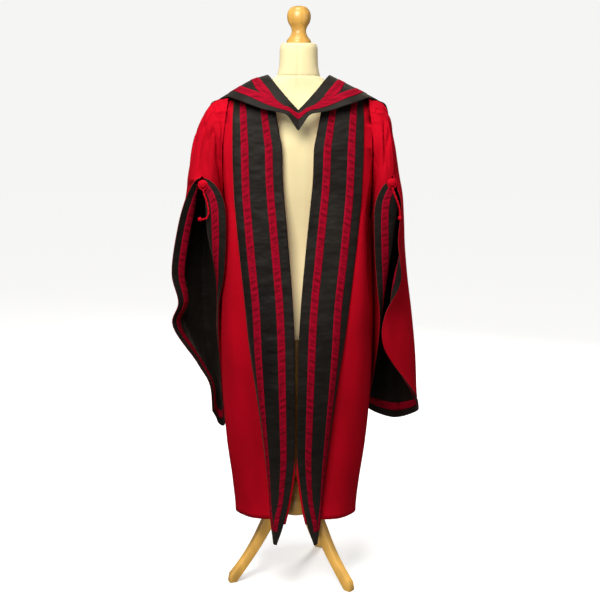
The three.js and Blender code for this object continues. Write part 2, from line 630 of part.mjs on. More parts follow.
// The red front and its facing, on the wearer's left side, which is at +X.
function frontSheets() {
  const facing = [];
  const red = [];
  for (const v of FRONT_ROWS) {
    facing.push(FACING_TOPS.map((top, column) => facingPoint(column, lerp(top, HEM, v))));
    red.push(RED_COLUMNS.map((column) => redPoint(column, lerp(column.top, HEM, v))));
  }
  const edge = (row) => {
    const shown = smooth((RED_EDGE.from - row[0].z) / (RED_EDGE.from - RED_EDGE.full));
    const past = row[0].clone().sub(row[1]).setLength(shown * RED_EDGE.width);
    return row[0].clone().add(past);
  };
  const body = new Sheet(facing.map((row, i) => [edge(row), ...row.slice(1), ...red[i]]));
  const side = body.points[0].length - 1;
  const folded = body.lifted((i, j) => {
    const column = RED_COLUMNS[j - facing[0].length];
    if (!column) return 0;
    const still = smooth((1 - column.share) * FRONT_STILL);
    return foldDepth(FRONT_FOLDS, column.share, FRONT_ROWS[i]) * still;
  }).withNormals((i, j) => {
    if (i === 0 && j < facing[0].length) return ridgeNormal(1);
    return j === side && i > 0 ? new THREE.Vector3(1, 0, 0) : undefined;
  });
  for (const z of POINT_ROWS) facing.push(FACING_TOPS.map((_, column) => facingPoint(column, z)));
  const band = new Sheet(facing).withNormals((i) => (i === 0 ? ridgeNormal(1) : undefined));
  return { body: folded, band: band.lifted(FACING_LIFT).trimmed({ last: FACING_TRIM }) };
}

function buildFronts() {
  const { body, band } = frontSheets();
  const red = body.trimmed({ top: GAP / 2, last: GAP / 2 });
  const facing = band.trimmed({ top: GAP / 2 });
  const meetRow = FRONT_ROWS.length + POINT_ROWS.indexOf(RIBBONS_MEET);
  const ribbons = {
    inner: band.rowsAndColumns(1, meetRow, ...FIRST_RIBBON).lifted(ON_RIBBON),
    outer: band.rowsAndColumns(1, meetRow, ...SECOND_RIBBON).lifted(ON_RIBBON),
  };
  for (const [side, of] of [['right', (sheet) => sheet], ['left', (sheet) => sheet.mirrored()]]) {
    add(`front_${side}`, of(red).wall(CLOTH), RED);
    add(`facing_${side}`, of(facing).wall(CLOTH), BLACK);
    for (const [place, ribbon] of Object.entries(ribbons)) {
      add(`facing_ribbon_${place}_${side}`, of(ribbon).wall(RIBBON), CRIMSON);
    }
  }
}

// The back's surface without gathers: at is from -1 at the left side to 1 at the right side.
function backTop(at) {
  const x = Math.abs(at) * SHOULDER;
  if (x >= NECK_HALF) return new THREE.Vector3(x, 0, shoulderRidge(x) + RIDGE_SEAT);
  const round = (1 - (x / NECK_HALF) ** FORM_SQUARENESS) ** (1 / FORM_SQUARENESS);
  return new THREE.Vector3(x, NECK_BACK * round, shoulderRidge(NECK_HALF) + RIDGE_SEAT);
}

function yokePoint(at, v) {
  const top = backTop(at);
  const z = lerp(top.z, YOKE_SEAM, v);
  const rolled = roll(top.z - z, BACK_ROLL);
  const base = backPlan(z).getPointAt(Math.abs(at));
  return new THREE.Vector3(Math.sign(at) * lerp(top.x, base.x, rolled), lerp(top.y, base.y, rolled), z);
}

function backPoint(at, v) {
  const share = Math.abs(at);
  const past = clamp01((share - YOKE_END) / (1 - YOKE_END));
  const top = lerp(YOKE_SEAM, UNDERARM, past);
  const z = lerp(top, HEM, v);
  const spread = smooth((z - SPREAD_BY) / (top - SPREAD_BY));
  const gathered = Math.min(share / YOKE_END, 1);
  const base = backPlan(z).getPointAt(lerp(share, gathered, spread));
  return new THREE.Vector3(Math.sign(at) * base.x, base.y, z);
}

function backSheet() {
  const columns = Array.from({ length: 2 * GATHERS.count + 1 }, (_, j) => 1 - j / GATHERS.count);
  const flat = new Sheet(BACK_ROWS.map((v) => columns.map((at) => backPoint(at, v))));
  const side = columns.length - 1;
  return flat.lifted((i, j) => {
    const below = YOKE_SEAM - flat.points[i][j].z;
    const gathers = GATHERS.depth * Math.cos(Math.PI * j) * (1 - smooth(below / GATHERS.fade));
    const still = smooth((1 - Math.abs(columns[j])) * BACK_STILL);
    const pressed = i > 0 ? 1 : GATHERS.atSeam;
    return still * (gathers * pressed + foldDepth(BACK_FOLDS, columns[j], BACK_ROWS[i]));
  }).withNormals((i, j) => {
    const seam = j === 0 || j === side;
    return seam ? new THREE.Vector3(Math.sign(columns[j]), 0, 0) : undefined;
  });
}

function buildBack() {
  const columns = [...YOKE_COLUMNS, ...YOKE_COLUMNS.slice(0, -1).reverse().map((at) => -at)];
  const points = YOKE_ROWS.map((v) => columns.map((at) => yokePoint(at, v)));
  const yoke = new Sheet(points).withNormals((i, j) => {
    const onRidge = i === 0 && Math.abs(columns[j]) * SHOULDER > NECK_HALF;
    return onRidge ? ridgeNormal(Math.sign(columns[j])) : undefined;
  });
  add('yoke', yoke.trimmed({ top: GAP / 2, bottom: GAP / 2 }).wall(CLOTH), RED);
  add('back', backSheet().trimmed({ top: GAP / 2, first: GAP / 2, last: GAP / 2 }).wall(CLOTH), RED);
}

// Sleeves

const SLEEVE_LINES = ['backLip', 'backFold', 'outer', 'back', 'inner', 'fold', 'lip'];

// Points along a section: the border and ribbon by length from both ends, the rest closer where it turns.
function sleeveSection(curve) {
  const count = SLEEVE_SAMPLES;
  const sample = curve.getSpacedPoints(count);
  const length = curve.getLength();
  const weight = [0];
  for (let k = 1; k <= count; k++) {
    const step = sample[k].clone().sub(sample[k - 1]);
    const next = k < count ? sample[k + 1].clone().sub(sample[k]) : step;
    weight.push(weight[k - 1] + length / count + TURN_WEIGHT * step.angleTo(next));
  }
  const edge = SLEEVE_EDGE.map((distance, k) => Math.min(distance / length, SLEEVE_EDGE_SHARE[k]));
  const weightAt = (share) => weight[Math.round(share * count)];
  const [low, high] = [weightAt(edge[2]), weightAt(1 - edge[2])];
  const middle = Array.from({ length: SLEEVE_COLUMNS }, (_, j) => {
    const wanted = lerp(low, high, (j + 1) / (SLEEVE_COLUMNS + 1));
    const k = weight.findIndex((w) => w >= wanted);
    return (k - (weight[k] - wanted) / (weight[k] - weight[k - 1])) / count;
  });
  const otherEdge = edge.map((share) => 1 - share).reverse();
  return [...edge, ...middle, ...otherEdge].map((share) => curve.getPointAt(share));
}

function sleeveSheet(sections) {
  const lines = SLEEVE_LINES.map((name) => curveThrough(sections.map((row) => vector(row[name]))));
  const end = sections.length - 1;
  const drops = SLEEVE_LINES.map((name) => {
    const [lower, upper] = [sections[end][name], sections[end - 1][name]].map(vector);
    return lower.distanceTo(upper);
  });
  const lastDrop = drops.reduce((sum, drop) => sum + drop, 0) / drops.length;
  const hemRows = [...SLEEVE_EDGE].reverse().map((distance) => end - distance / lastDrop);
  const stations = [...SLEEVE_ROWS.filter((row) => row < end - ROWS_ABOVE_HEM), ...hemRows];
  const points = stations.map((station) => {
    return sleeveSection(curveThrough(lines.map((line) => line.getPoint(station / end))));
  });
  const sheet = new Sheet(points);
  const columns = points[0].length;
  return sheet.lifted((i, j) => {
    const over = Math.sin((Math.PI * j) / (columns - 1)) ** HEAD_GATHERS.round;
    const fade = stations[i] === 0 ? HEAD_GATHERS.atSeam : 1 - smooth(stations[i] / HEAD_GATHERS.rows);
    return HEAD_GATHERS.depth * fade * over * (j % 2 ? 0 : 1);
  });
}

function buildSleeve(side, sections) {
  const drawn = sleeveSheet(sections);
  const sheet = side === 'left' ? drawn.mirrored() : drawn;
  add(`sleeve_${side}`, sheet.wall(CLOTH), RED);
  const first = SLEEVE_ROWS.indexOf(LINING_FROM);
  const last = sheet.points.length - 1;
  const edge = sheet.points[0].length - 1;
  const lining = sheet.rows(first, last).lifted(-ON_CLOTH);
  add(`sleeve_lining_${side}`, lining.wall(CLOTH), BLACK);
  const below = lining.points.length - 1;
  const ribbon = lining.lifted(-ON_RIBBON);
  const [slit, other] = side === 'left' ? ['front', 'back'] : ['back', 'front'];
  const alongSlit = ribbon.rowsAndColumns(1, below - 1, 1, 2);
  add(`sleeve_ribbon_${slit}_${side}`, alongSlit.wall(RIBBON), CRIMSON);
  const alongOther = ribbon.rowsAndColumns(1, below - 1, edge - 2, edge - 1);
  add(`sleeve_ribbon_${other}_${side}`, alongOther.wall(RIBBON), CRIMSON);
  const alongHem = ribbon.rowsAndColumns(below - 2, below - 1, 2, edge - 2);
  const hem = alongHem.trimmed({ first: HEM_RIBBON_TRIM, last: HEM_RIBBON_TRIM });
  add(`sleeve_ribbon_hem_${side}`, hem.wall(RIBBON), CRIMSON);
}

// Hood

function hoodStations() {
  const line = (name, rows) => curveThrough(rows.map((row) => vector(row[name])));
  const count = HOOD.length - 1;
  const backRows = HOOD.slice(HOOD_BACK_FROM - 1);
  const inside = line('inside', HOOD);
  const outside = line('outside', HOOD);
  const hem = line('hem', backRows);
  return Array.from({ length: count * HOOD_STEPS + 1 }, (_, i) => {
    const station = i / HOOD_STEPS;
    const behind = (station - HOOD_BACK_FROM + 1) / (backRows.length - 1);
    return {
      station,
      inside: inside.getPoint(station / count),
      outside: outside.getPoint(station / count),
      hem: behind >= 0 ? hem.getPoint(behind) : null,
    };
  });
}

function buildHood() {
  const stations = hoodStations();
  const count = HOOD.length - 1;
  const band = new Sheet([...stations].reverse().map(({ station, inside, outside }) => {
    const opened = smooth(station / HOOD_OPEN);
    const shares = HOOD_SHARES.map((share, j) => lerp(HOOD_POINT_SHARES[j], share, opened));
    return shares.map((share) => inside.clone().lerp(outside, share));
  }));
  const end = stations.length - 1;
  const level = band.withNormals((i, j) => {
    const { y, z } = band.normals[i][j];
    return i === 0 || i === end ? new THREE.Vector3(0, y, z).normalize() : undefined;
  });
  const rolledUp = (swell) => level.lifted((i, j) => {
    return swell * Math.sin(Math.PI * HOOD_SHARES[j]) * smooth((end - i) / (HOOD_OPEN * HOOD_STEPS));
  });
  const behind = [...stations].reverse().filter(({ hem }) => hem);
  const skirt = new Sheet(behind.map(({ outside, hem }) => {
    return HOOD_SKIRT.map((share) => outside.clone().lerp(hem, share));
  }));
  for (const [side, of] of [['right', (sheet) => sheet], ['left', (sheet) => sheet.mirrored()]]) {
    const rolled = rolledUp(HOOD_SWELL[side]);
    add(`hood_band_${side}`, of(rolled).wall(CLOTH), BLACK);
    const ribbons = { inner: FIRST_RIBBON, outer: SECOND_RIBBON };
    for (const [place, columns] of Object.entries(ribbons)) {
      const ribbon = rolled.columns(...columns).lifted(ON_RIBBON);
      add(`hood_ribbon_${place}_${side}`, of(ribbon).wall(RIBBON), CRIMSON);
    }
    add(`hood_back_${side}`, of(skirt.trimmed({ first: CLOTH })).wall(CLOTH), BLACK);
  }
  const liningRows = stations.filter(({ station }) => station >= HOOD_BACK_FROM && station < count);
  const lining = new Sheet(liningRows.map(({ inside }) => HOOD_LINING_COLUMNS.map((at) => {
    const sag = HOOD_LINING_DIP * (1 - at * at);
    return new THREE.Vector3(inside.x * at, inside.y + sag, inside.z);
  })));
  add('hood_lining', lining.trimmed({ first: ON_CLOTH, last: ON_CLOTH }).wall(CLOTH), BLACK);
}

// Buttons and cords

function buildFastening(side, { button, cord, knot }) {
  const face = new THREE.SphereGeometry(BUTTON.radius, BUTTON.sides, BUTTON.rings);
  face.scale(1, BUTTON.thick / BUTTON.radius, 1);
  add(`button_${side}`, face.translate(...button), RED);
  const loop = new THREE.TorusGeometry(LOOP.radius, LOOP.tube, LOOP.sides, LOOP.segments);
  add(`loop_${side}`, loop.rotateX(Math.PI / 2).translate(...button), RED);
  const path = curveThrough(cord.map(vector));
  const section = new THREE.Shape(Array.from({ length: CORD.sides }, (_, i) => {
    const angle = (2 * Math.PI * i) / CORD.sides;
    return plan((Math.cos(angle) * CORD.diameter) / 2, (Math.sin(angle) * CORD.diameter) / 2);
  }));
  const steps = Math.round(path.getLength() / CORD.step);
  add(`cord_${side}`, new THREE.ExtrudeGeometry(section, { steps, extrudePath: path }), RED);
  const bead = new THREE.SphereGeometry(KNOT.radius, KNOT.sides, KNOT.rings);
  add(`knot_${side}`, bead.translate(...knot), RED);
}

buildForm();
buildFronts();
buildBack();
buildSleeve('left', LEFT_SLEEVE);
buildSleeve('right', RIGHT_SLEEVE);
buildHood();
for (const [side, sizes] of Object.entries(FASTENINGS)) buildFastening(side, sizes);

// The origin is the middle of the part's own box, on the floor.
const box = new THREE.Box3().setFromObject(part);
const middle = box.getCenter(new THREE.Vector3());
const toOrigin = new THREE.Vector3(-middle.x, -middle.y, -box.min.z);
part.children.forEach((mesh) => mesh.position.add(toOrigin));

export default part;
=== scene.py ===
"""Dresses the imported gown, hood, dress form and stand with cloth, ribbon, cord and wood."""

import math

import bmesh
import bpy
import numpy as np
from bpy.props import FloatProperty, FloatVectorProperty, IntProperty, PointerProperty
from mathutils import Matrix, Vector, noise


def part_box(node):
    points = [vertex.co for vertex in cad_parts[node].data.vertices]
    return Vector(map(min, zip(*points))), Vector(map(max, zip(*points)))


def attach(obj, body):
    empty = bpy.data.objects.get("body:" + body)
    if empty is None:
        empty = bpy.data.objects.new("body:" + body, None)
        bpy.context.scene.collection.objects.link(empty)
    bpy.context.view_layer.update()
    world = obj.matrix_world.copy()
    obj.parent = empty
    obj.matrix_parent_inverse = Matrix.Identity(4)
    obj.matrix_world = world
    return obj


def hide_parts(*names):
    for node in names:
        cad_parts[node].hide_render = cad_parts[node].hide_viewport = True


bl_info = {
    "name": "Doctoral gown on a dress form",
    "version": (1, 0, 0),
    "blender": (4, 5, 0),
    "location": "3D View > Sidebar > Gown",
    "description": "Builds the cloth, ribbon, cord, form and stand of a doctoral gown round its solid model",
    "category": "Object",
}

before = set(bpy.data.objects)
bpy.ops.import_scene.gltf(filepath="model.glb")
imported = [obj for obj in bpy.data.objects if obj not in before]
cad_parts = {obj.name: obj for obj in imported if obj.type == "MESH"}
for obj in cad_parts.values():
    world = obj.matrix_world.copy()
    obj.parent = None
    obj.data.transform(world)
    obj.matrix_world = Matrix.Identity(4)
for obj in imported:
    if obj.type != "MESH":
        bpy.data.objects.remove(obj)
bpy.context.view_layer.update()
MM = 0.001
POLE_LOW, POLE_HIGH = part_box("stand_pole")
POLE_AXIS = np.array([(POLE_LOW.x + POLE_HIGH.x) / 2, (POLE_LOW.y + POLE_HIGH.y) / 2, 0.0])

# Lengths in the tables below are millimetres from the pole's axis and the floor.

CLOTH = 1.4
RIBBON = 0.9
GAP = 0.3
ON_CLOTH = CLOTH + GAP
ON_RIBBON = CLOTH / 2 + GAP + RIBBON / 2
FACING_LIFT = 2.5
RIPPLE = 1.6
THREAD = 1.3
DETAIL = 5

# Differences that count as none, the shortest lengths that are divided by, and the power that times a curve
ROUNDING = 1e-6
MERGED = 1e-3
SHORTEST = 1e-9
SHORTEST_STEP = 1e-4
CENTRIPETAL = 0.25

# The striped band: border, ribbon, middle, ribbon, border, from the front edge outwards
BAND_EDGES = np.array([0, 26, 46, 68, 90, 110, 136], float)
FIRST_RIBBON = (1, 2)
SECOND_RIBBON = (4, 5)
FACING_POINT_SHARES = np.array([0, 0.26, 0.485, 0.5, 0.515, 0.74, 1])

HEM = 220
UNDERARM = 1120
YOKE_SEAM = 1335
POINT_TOP = 300
RIBBONS_MEET = 196
POINT = 153
FRONT_ROLL = 70
BACK_ROLL = 90
RIDGE_SEAT = 1.6
NECK_HALF = 77
NECK_BACK = 72
SHOULDER = 190
SHOULDER_LOW = 1426
NECK_ROOT = 60
RIDGE_PASSES = 4
RIDGE_NORMAL = (0.5, 0.0, 0.87)

FORM_COLUMNS = ("z", "half", "front", "back")
FORM = [
    (752, 150, 98, 106),
    (772, 160, 104, 113),
    (860, 168, 108, 120),
    (950, 150, 100, 104),
    (1035, 132, 93, 88),
    (1120, 142, 98, 90),
    (1215, 160, 104, 97),
    (1290, 170, 101, 101),
    (1350, 178, 88, 98),
    (1395, 181, 74, 88),
    (1426, 172, 63, 78),
    (1444, 140, 57, 71),
    (1463, 105, 54, 65),
    (1480, 76, 53, 60),
    (1494, 60, 52, 57),
    (1530, 54, 51, 53),
    (1568, 53, 50, 52),
    (1579, 49, 46, 48),
]
FORM_SQUARENESS = 2.3
FORM_SIDES = 96
FORM_ROW_STEPS = 4
FORM_SEAM_HEIGHT = 1491
SEAM_DEPTH = 2.4
SEAM_WIDTH = 2.0
SEAM_ROWS = (-4, -2, 0, 2, 4)

POLE_RADIUS = 17
KNOB_PROFILE = [
    (0, 1579), (34, 1579), (34, 1586), (24, 1600), (20, 1612), (22, 1622), (30, 1636),
    (33, 1650), (31, 1664), (22, 1676), (10, 1680), (0, 1680),
]
HUB_PROFILE = [(0, 198), (37, 198), (41, 210), (39, 240), (31, 262), (28, 290), (22, 304), (0, 304)]
LEG_ANGLES = {"leg_left": -70, "leg_right": 53, "leg_rear": 157}
LEG_THICK = 25
LEG_ROOT = 39.5
LEG_CLEAR = 1
LEG_TOE = 4
LEG_EDGE_POINTS = 25
LEG_RIM_ANGLE = 1.2
LEG_ROUNDING = 2.2
LEG_COLUMNS = ("reach", "z", "depth")
LEG_LINE = [
    (0, 236, 46), (30, 204, 41), (54, 168, 36), (77, 127, 31), (101, 89, 28), (130, 49, 27), (160, 16, 24),
]

# The gown's front, half of it: edge is the front edge, wrap the facing's outer edge, bow the swell of the
# red front, and side the armhole above the underarm and the side seam below it.
FRONT_COLUMNS = ("z", "edge_x", "edge_y", "wrap_x", "wrap_y", "bow", "side_x", "side_y")
FRONT = [
    (1482, 77, -80, 186, -80, -80, 190, -2),
    (1440, 70, -93, 182, -86, -86, 190, -4),
    (1390, 61, -106, 180, -98, -98, 199, -75),
    (1330, 50, -114, 180, -103, -104, 204, -91),
    (1290, 43, -118, 180, -106, -108, 205, -93),
    (1214, 41, -122, 178, -109, -112, 205, -72),
    (1150, 36, -126, 175, -111, -116, 204, -27),
    (1120, 33, -129, 172, -112, -118, 204, 0),
    (1000, 22, -138, 160, -116, -126, 208, 0),
    (860, 11, -145, 145, -122, -128, 214, 0),
    (730, 5, -150, 131, -112, -124, 217, 0),
    (595, 4, -154, 112, -104, -116, 214, 0),
    (440, 3.5, -157, 92, -100, -112, 203, 0),
    (315, 16, -158, 78, -108, -112, 186, 0),
    (220, 34, -155, 71, -118, -112, 177, 0),
    (153, 54, -146, 62, -138, -140, 180, 0),
]
RED_COLUMNS = ("share", "top")
RED_FRONT = [(0.1, 1427), (0.26, 1392), (0.43, 1330), (0.61, 1250), (0.8, 1170), (1, UNDERARM)]
SPREAD_BY = 1070
FRONT_ROWS = [
    0, 0.0012, 0.005, 0.016, 0.036, 0.065, 0.11, 0.17, 0.24, 0.31,
    0.39, 0.47, 0.55, 0.63, 0.71, 0.79, 0.86, 0.93, 1,
]
POINT_ROWS = [212, RIBBONS_MEET, 176, POINT]
RED_EDGE_FROM = 430
RED_EDGE_FULL = 370
RED_EDGE_WIDTH = 6
FACING_LAST_STEP = 0.3
FACING_RIBBON_ROW = 2

BACK_COLUMNS = ("z", "side_x", "side_y", "back_y")
BACK = [
    (1482, 190, 54, 86),
    (1440, 191, 58, 98),
    (1390, 198, 64, 110),
    (1335, 203, 74, 120),
    (1290, 205, 76, 124),
    (1214, 205, 58, 128),
    (1150, 204, 22, 132),
    (1120, 204, 0, 134),
    (1000, 208, 0, 140),
    (860, 214, 0, 150),
    (730, 217, 0, 158),
    (595, 214, 0, 166),
    (440, 203, 0, 172),
    (315, 186, 0, 176),
    (220, 177, 0, 178),
]
YOKE_END = 0.8
YOKE_ROWS = [0, 0.012, 0.04, 0.12, 0.25, 0.45, 0.7, 1]
BACK_ROWS = [0, 0.05, 0.11, 0.18, 0.27, 0.37, 0.48, 0.6, 0.72, 0.84, 0.93, 1]
FOLD_COLUMNS = ("at", "width", "top", "hem")
BACK_FOLDS = [
    (-0.84, 0.1, 1, 12), (-0.6, 0.13, 3, 20), (-0.34, 0.12, 2, 17), (-0.1, 0.13, 3, 21),
    (0.16, 0.11, 2, 16), (0.4, 0.14, 3, 21), (0.64, 0.11, 2, 18), (0.86, 0.1, 1, 11),
]
FRONT_FOLDS = [(0.32, 0.2, 0, 4), (0.72, 0.18, 2, 8)]
FRONT_STILL = 6
BACK_STILL = 8
STILL_ABOVE = 1400
STILL_OVER = 160
# Waves have a size across the cloth and one along its fall
BROAD_WAVE_SIZE = (62, 420)
SMALL_WAVE_SIZE = (30, 110)
SMALL_WAVE_SEED = 20
SMALL_WAVES = 0.35
SEEDS = {"right": 3.0, "left": 11.0}
GATHER_COUNT = 16
GATHER_DEPTH = 3
GATHER_FADE = 190
GATHER_AT_SEAM = 0.5
GATHER_SEAM_ROWS = 0.05

SLEEVE_LINES = ("back_lip", "back_fold", "outer", "back", "inner", "fold", "lip")
ARMHOLE = (
    (197, -86, 1392), (195.5, -52, 1418), (196, 3, 1427.5), (209, 93.3, 1272),
    (211, 2, 1112), (207, -102, 1300), (197, -86, 1391.7),
)
# A row for each section of a sleeve, from the armhole to the edge, with a point for each of its lines
LEFT_SLEEVE = [
    ARMHOLE,
    ((237, -90, 1385), (242, -52, 1402), (240, 2, 1411), (224, 110, 1258),
     (212, 2, 1098), (226, -107, 1296), (236.8, -90, 1384.8)),
    ((259, -100, 1309), (280, -68, 1317), (286, 0, 1330), (246, 114, 1215),
     (213, 2, 1084), (231, -110, 1262), (258.8, -100, 1308.8)),
    ((264, -103, 1217), (292, -82, 1212), (312, -14, 1205), (262, 116, 1150),
     (215, 0, 1066), (244, -110, 1190), (263, -103, 1216)),
    ((280, -107, 1207), (290, -88, 1203), (314, -14, 1192), (264, 117, 1140),
     (223, -3, 1061), (255, -104, 1203), (243, -113, 1207)),
    ((294, -103, 1191), (283, -83, 1187), (316, -12, 1176), (266, 118, 1126),
     (223, -6, 1055), (256, -105, 1187), (224, -118, 1191)),
    ((314, -88, 1150), (289, -66, 1147), (322, -4, 1140), (270, 120, 1100),
     (224, -12, 1042), (252, -106, 1146), (203, -122, 1150)),
    ((337, -76, 1070), (302, -48, 1067), (332, 10, 1060), (276, 122, 1030),
     (226, -8, 1000), (250, -100, 1066), (198, -118, 1070)),
    ((357, -66, 935), (325, -38, 932), (344, 22, 928), (286, 126, 915),
     (223, 58, 905), (226, -72, 932), (206, -92, 935)),
    ((340, -56, 850), (318, -20, 848), (336, 42, 842), (286, 130, 832),
     (222, 72, 832), (230, -24, 845), (224, -46, 848)),
    ((360, -42, 788), (340, 8, 780), (332, 70, 765), (280, 134, 748),
     (222, 80, 752), (234, 8, 765), (230, -10, 770)),
    ((294, 42, 642), (284, 74, 636), (284, 106, 628), (262, 136, 618),
     (228, 88, 626), (228, 58, 635), (229, 40, 640)),
    ((266, 72, 576), (257, 100, 566), (256, 128, 556), (243, 142, 552),
     (227, 104, 560), (226, 82, 568), (226, 66, 576)),
    ((260, 104, 480), (250, 126, 452), (242, 144, 426), (228, 144, 420),
     (221, 120, 456), (221, 108, 476), (222, 98, 492)),
]
RIGHT_SLEEVE = [
    ARMHOLE,
    ((237, -90, 1385), (241, -52, 1400), (240, 2, 1410), (224, 110, 1258),
     (212, 2, 1098), (226, -107, 1296), (236.8, -90, 1384.8)),
    ((257, -100, 1309), (266, -68, 1314), (260, 0, 1326), (240, 114, 1215),
     (210, 2, 1084), (229, -110, 1262), (256.8, -100, 1308.8)),
    ((262, -103, 1223), (281, -72, 1216), (283, 0, 1212), (256, 116, 1150),
     (209.5, 0, 1066), (240, -110, 1192), (261, -103, 1222)),
    ((273, -112, 1192), (289, -74, 1184), (287, 2, 1178), (257, 119, 1128),
     (210, 20, 1047), (263, -103, 1187), (233, -118, 1192)),
    ((286, -116, 1150), (295, -74, 1148), (292, 5, 1144), (258, 122, 1105),
     (209, 48, 1026), (274, -102, 1148), (214, -123, 1150)),
    ((281, -110, 1042), (298, -72, 1040), (307, 6, 1036), (266, 128, 1012),
     (208, 72, 990), (266, -96, 1040), (213, -119, 1042)),
    ((292, -102, 925), (274, -82, 923), (321, 8, 918), (276, 132, 900),
     (214, 76, 890), (250, -80, 922), (223, -101, 925)),
    ((250, -94, 826), (266, -80, 824), (335, 8, 818), (286, 136, 800),
     (218, 80, 798), (242, -52, 822), (235, -76, 826)),
    ((248, -78, 736), (272, -74, 728), (347, 6, 712), (294, 138, 690),
     (220, 86, 700), (237, -26, 728), (236, -48, 732)),
    ((349, -42, 584), (362, -16, 545), (366, 46, 502), (300, 118, 460),
     (222, 92, 497), (219, 60, 535), (222, 36, 560)),
]
SLEEVE_EDGE = (0, 20, 41)
SLEEVE_EDGE_SHARE = (0, 0.1, 0.2)
SLEEVE_MIDDLE_COLUMNS = 18
TURN_WEIGHT = 26
SLEEVE_SAMPLES = 150
SLEEVE_HEAD_ROWS = 40
SLEEVE_BODY_ROWS = 70
SLEEVE_HEM_ROWS = 4
SLEEVE_FINE = 8
LINING_FROM = 3.3
RIBBON_FROM = 3.6
HEAD_GATHER_DEPTH = 4
HEAD_GATHER_ROWS = 2.8
HEAD_FROM = 1310
HEAD_RISE = 90
HEAD_AT_SEAM = 0.4
HEAD_SEAM_ROWS = 0.35
PLEAT_SIZE = (26, 150)
PLEAT_SHARP = 3.5
PLEAT_POWER = 1.5
PLEAT_DEPTH = 13
PLEATS_FROM = 1215
PLEATS_RISE = 85
PUCKER_DEPTH = 2
PUCKER_ROWS = 1.15
PUCKERS_EACH = 1.7
PUCKER_DRIFT = 2
PUCKER_DRIFT_RATE = 1.3
SLEEVE_WAVES = 1.5
SLEEVE_WAVE_SIZE = (60, 190)
SLEEVE_WAVES_FROM = 0.3
SLEEVE_WAVES_OVER = 1.2
SLEEVE_EDGE_POWER = 0.3

# The hood, half of it, from its front point over the shoulder to the middle of the back
HOOD_COLUMNS = ("inside", "outside", "hem")
HOOD = [
    ((0.04, -134, 1397), (0.04, -158, 1343), None),
    ((22, -128, 1420), (42, -150, 1384), None),
    ((50, -104, 1452), (98, -140, 1400), None),
    ((70, -64, 1476), (150, -128, 1418), None),
    ((84, -16, 1492), (188, -76, 1430), None),
    ((90, 22, 1492), (204, -12, 1432), (222, -4, 1426)),
    ((94, 62, 1474), (232, 44, 1418), (254, 52, 1408)),
    ((88, 112, 1400), (236, 118, 1334), (268, 124, 1290)),
    ((68, 152, 1275), (190, 164, 1180), (236, 170, 1080)),
    ((36, 174, 1155), (108, 190, 1042), (140, 194, 905)),
    ((0.04, 182, 1110), (0.04, 200, 972), (0.04, 202, 810)),
]
# The stripes of the hood's band, with z as the station: the inner ribbon runs into the outer one before the
# front point
HOOD_STRIPE_COLUMNS = ("z", "inner_start", "inner_end", "outer_start", "outer_end")
HOOD_STRIPES = [
    (0, 0.16, 0.16, 0.17, 0.46),
    (1.2, 0.49, 0.49, 0.5, 0.78),
    (2.55, 0.3, 0.56, 0.57, 0.8),
    (4, 0.23, 0.4, 0.64, 0.82),
    (5.5, 0.21, 0.36, 0.6, 0.77),
    (10, 0.21, 0.36, 0.6, 0.77),
]
HOOD_RIBBON_ENDS = {"inner": 1.24, "outer": 0}
HOOD_BEAK = (9, 0.7, 0.42)
HOOD_BEAK_FADE = 4
HOOD_WAVE = 2.4
HOOD_WAVE_SIZE = (52, 40)
HOOD_WAVE_INSIDE = 0.5
HOOD_WAVE_FADE = 1.2
HOOD_BAND_STEPS = 6
HOOD_BACK_STEPS = 3
HOOD_LINING_STEPS = 5
HOOD_OPEN = 4
HOOD_SWELL = {"left": 8, "right": 2}
HOOD_BACK_FROM = 5
HOOD_LINING_FROM = 6
HOOD_LINING_DIP = 30
HOOD_TUCK = 2
HOOD_LINING_TUCK = 3

BUTTON_RADIUS = 12
BUTTON_THICK = 7
LOOP_RADIUS = 12.4
LOOP_TUBE = 2.1
LOOP_DROP = 2.4
LOOP_STEPS = 72
LOOP_SIDES = 12
LOOP_TURNS = 8
LOOP_GROOVE = 0.2
CORD_DIAMETER = 5
CORD_LOBE = 0.57
CORD_STEP = 1.2
CORD_STRANDS = 2
CORD_TURN = 13
CORD_GROOVE = 0.26
CORD_SIDES = 20
KNOT_RADIUS = 5.5
KNOT_FULL = 1.12
KNOT_STRANDS = 3
KNOT_SLANT = 0.9
KNOT_GROOVE = 0.12
BALL_SIDES = 32
BALL_ROWS = 18
BUTTONS = {"left": (-261, -116, 1195), "right": (259, -117.5, 1203)}
KNOTS = {"left": (-270, -118, 1098.4), "right": (282, -128, 1106.2)}
CORDS = {
    "left": [
        (-260, -115.6, 1179.5), (-257, -118, 1166), (-252, -118, 1152), (-248, -118, 1136),
        (-246, -118, 1120), (-248, -118, 1108), (-255, -118, 1100), (-264, -118, 1098),
    ],
    "right": [
        (261, -117, 1187.4), (265, -122, 1174), (271, -126, 1160),
        (277, -128, 1144), (281, -128, 1128), (282, -128, 1112),
    ],
}

# The camera
EYE = (0, -2900, 1400)
CAMERA_PITCH = 10.72
CAMERA_ROLL = 0.4
CAMERA_LENS = 60.54
CAMERA_SHIFT = 0.005

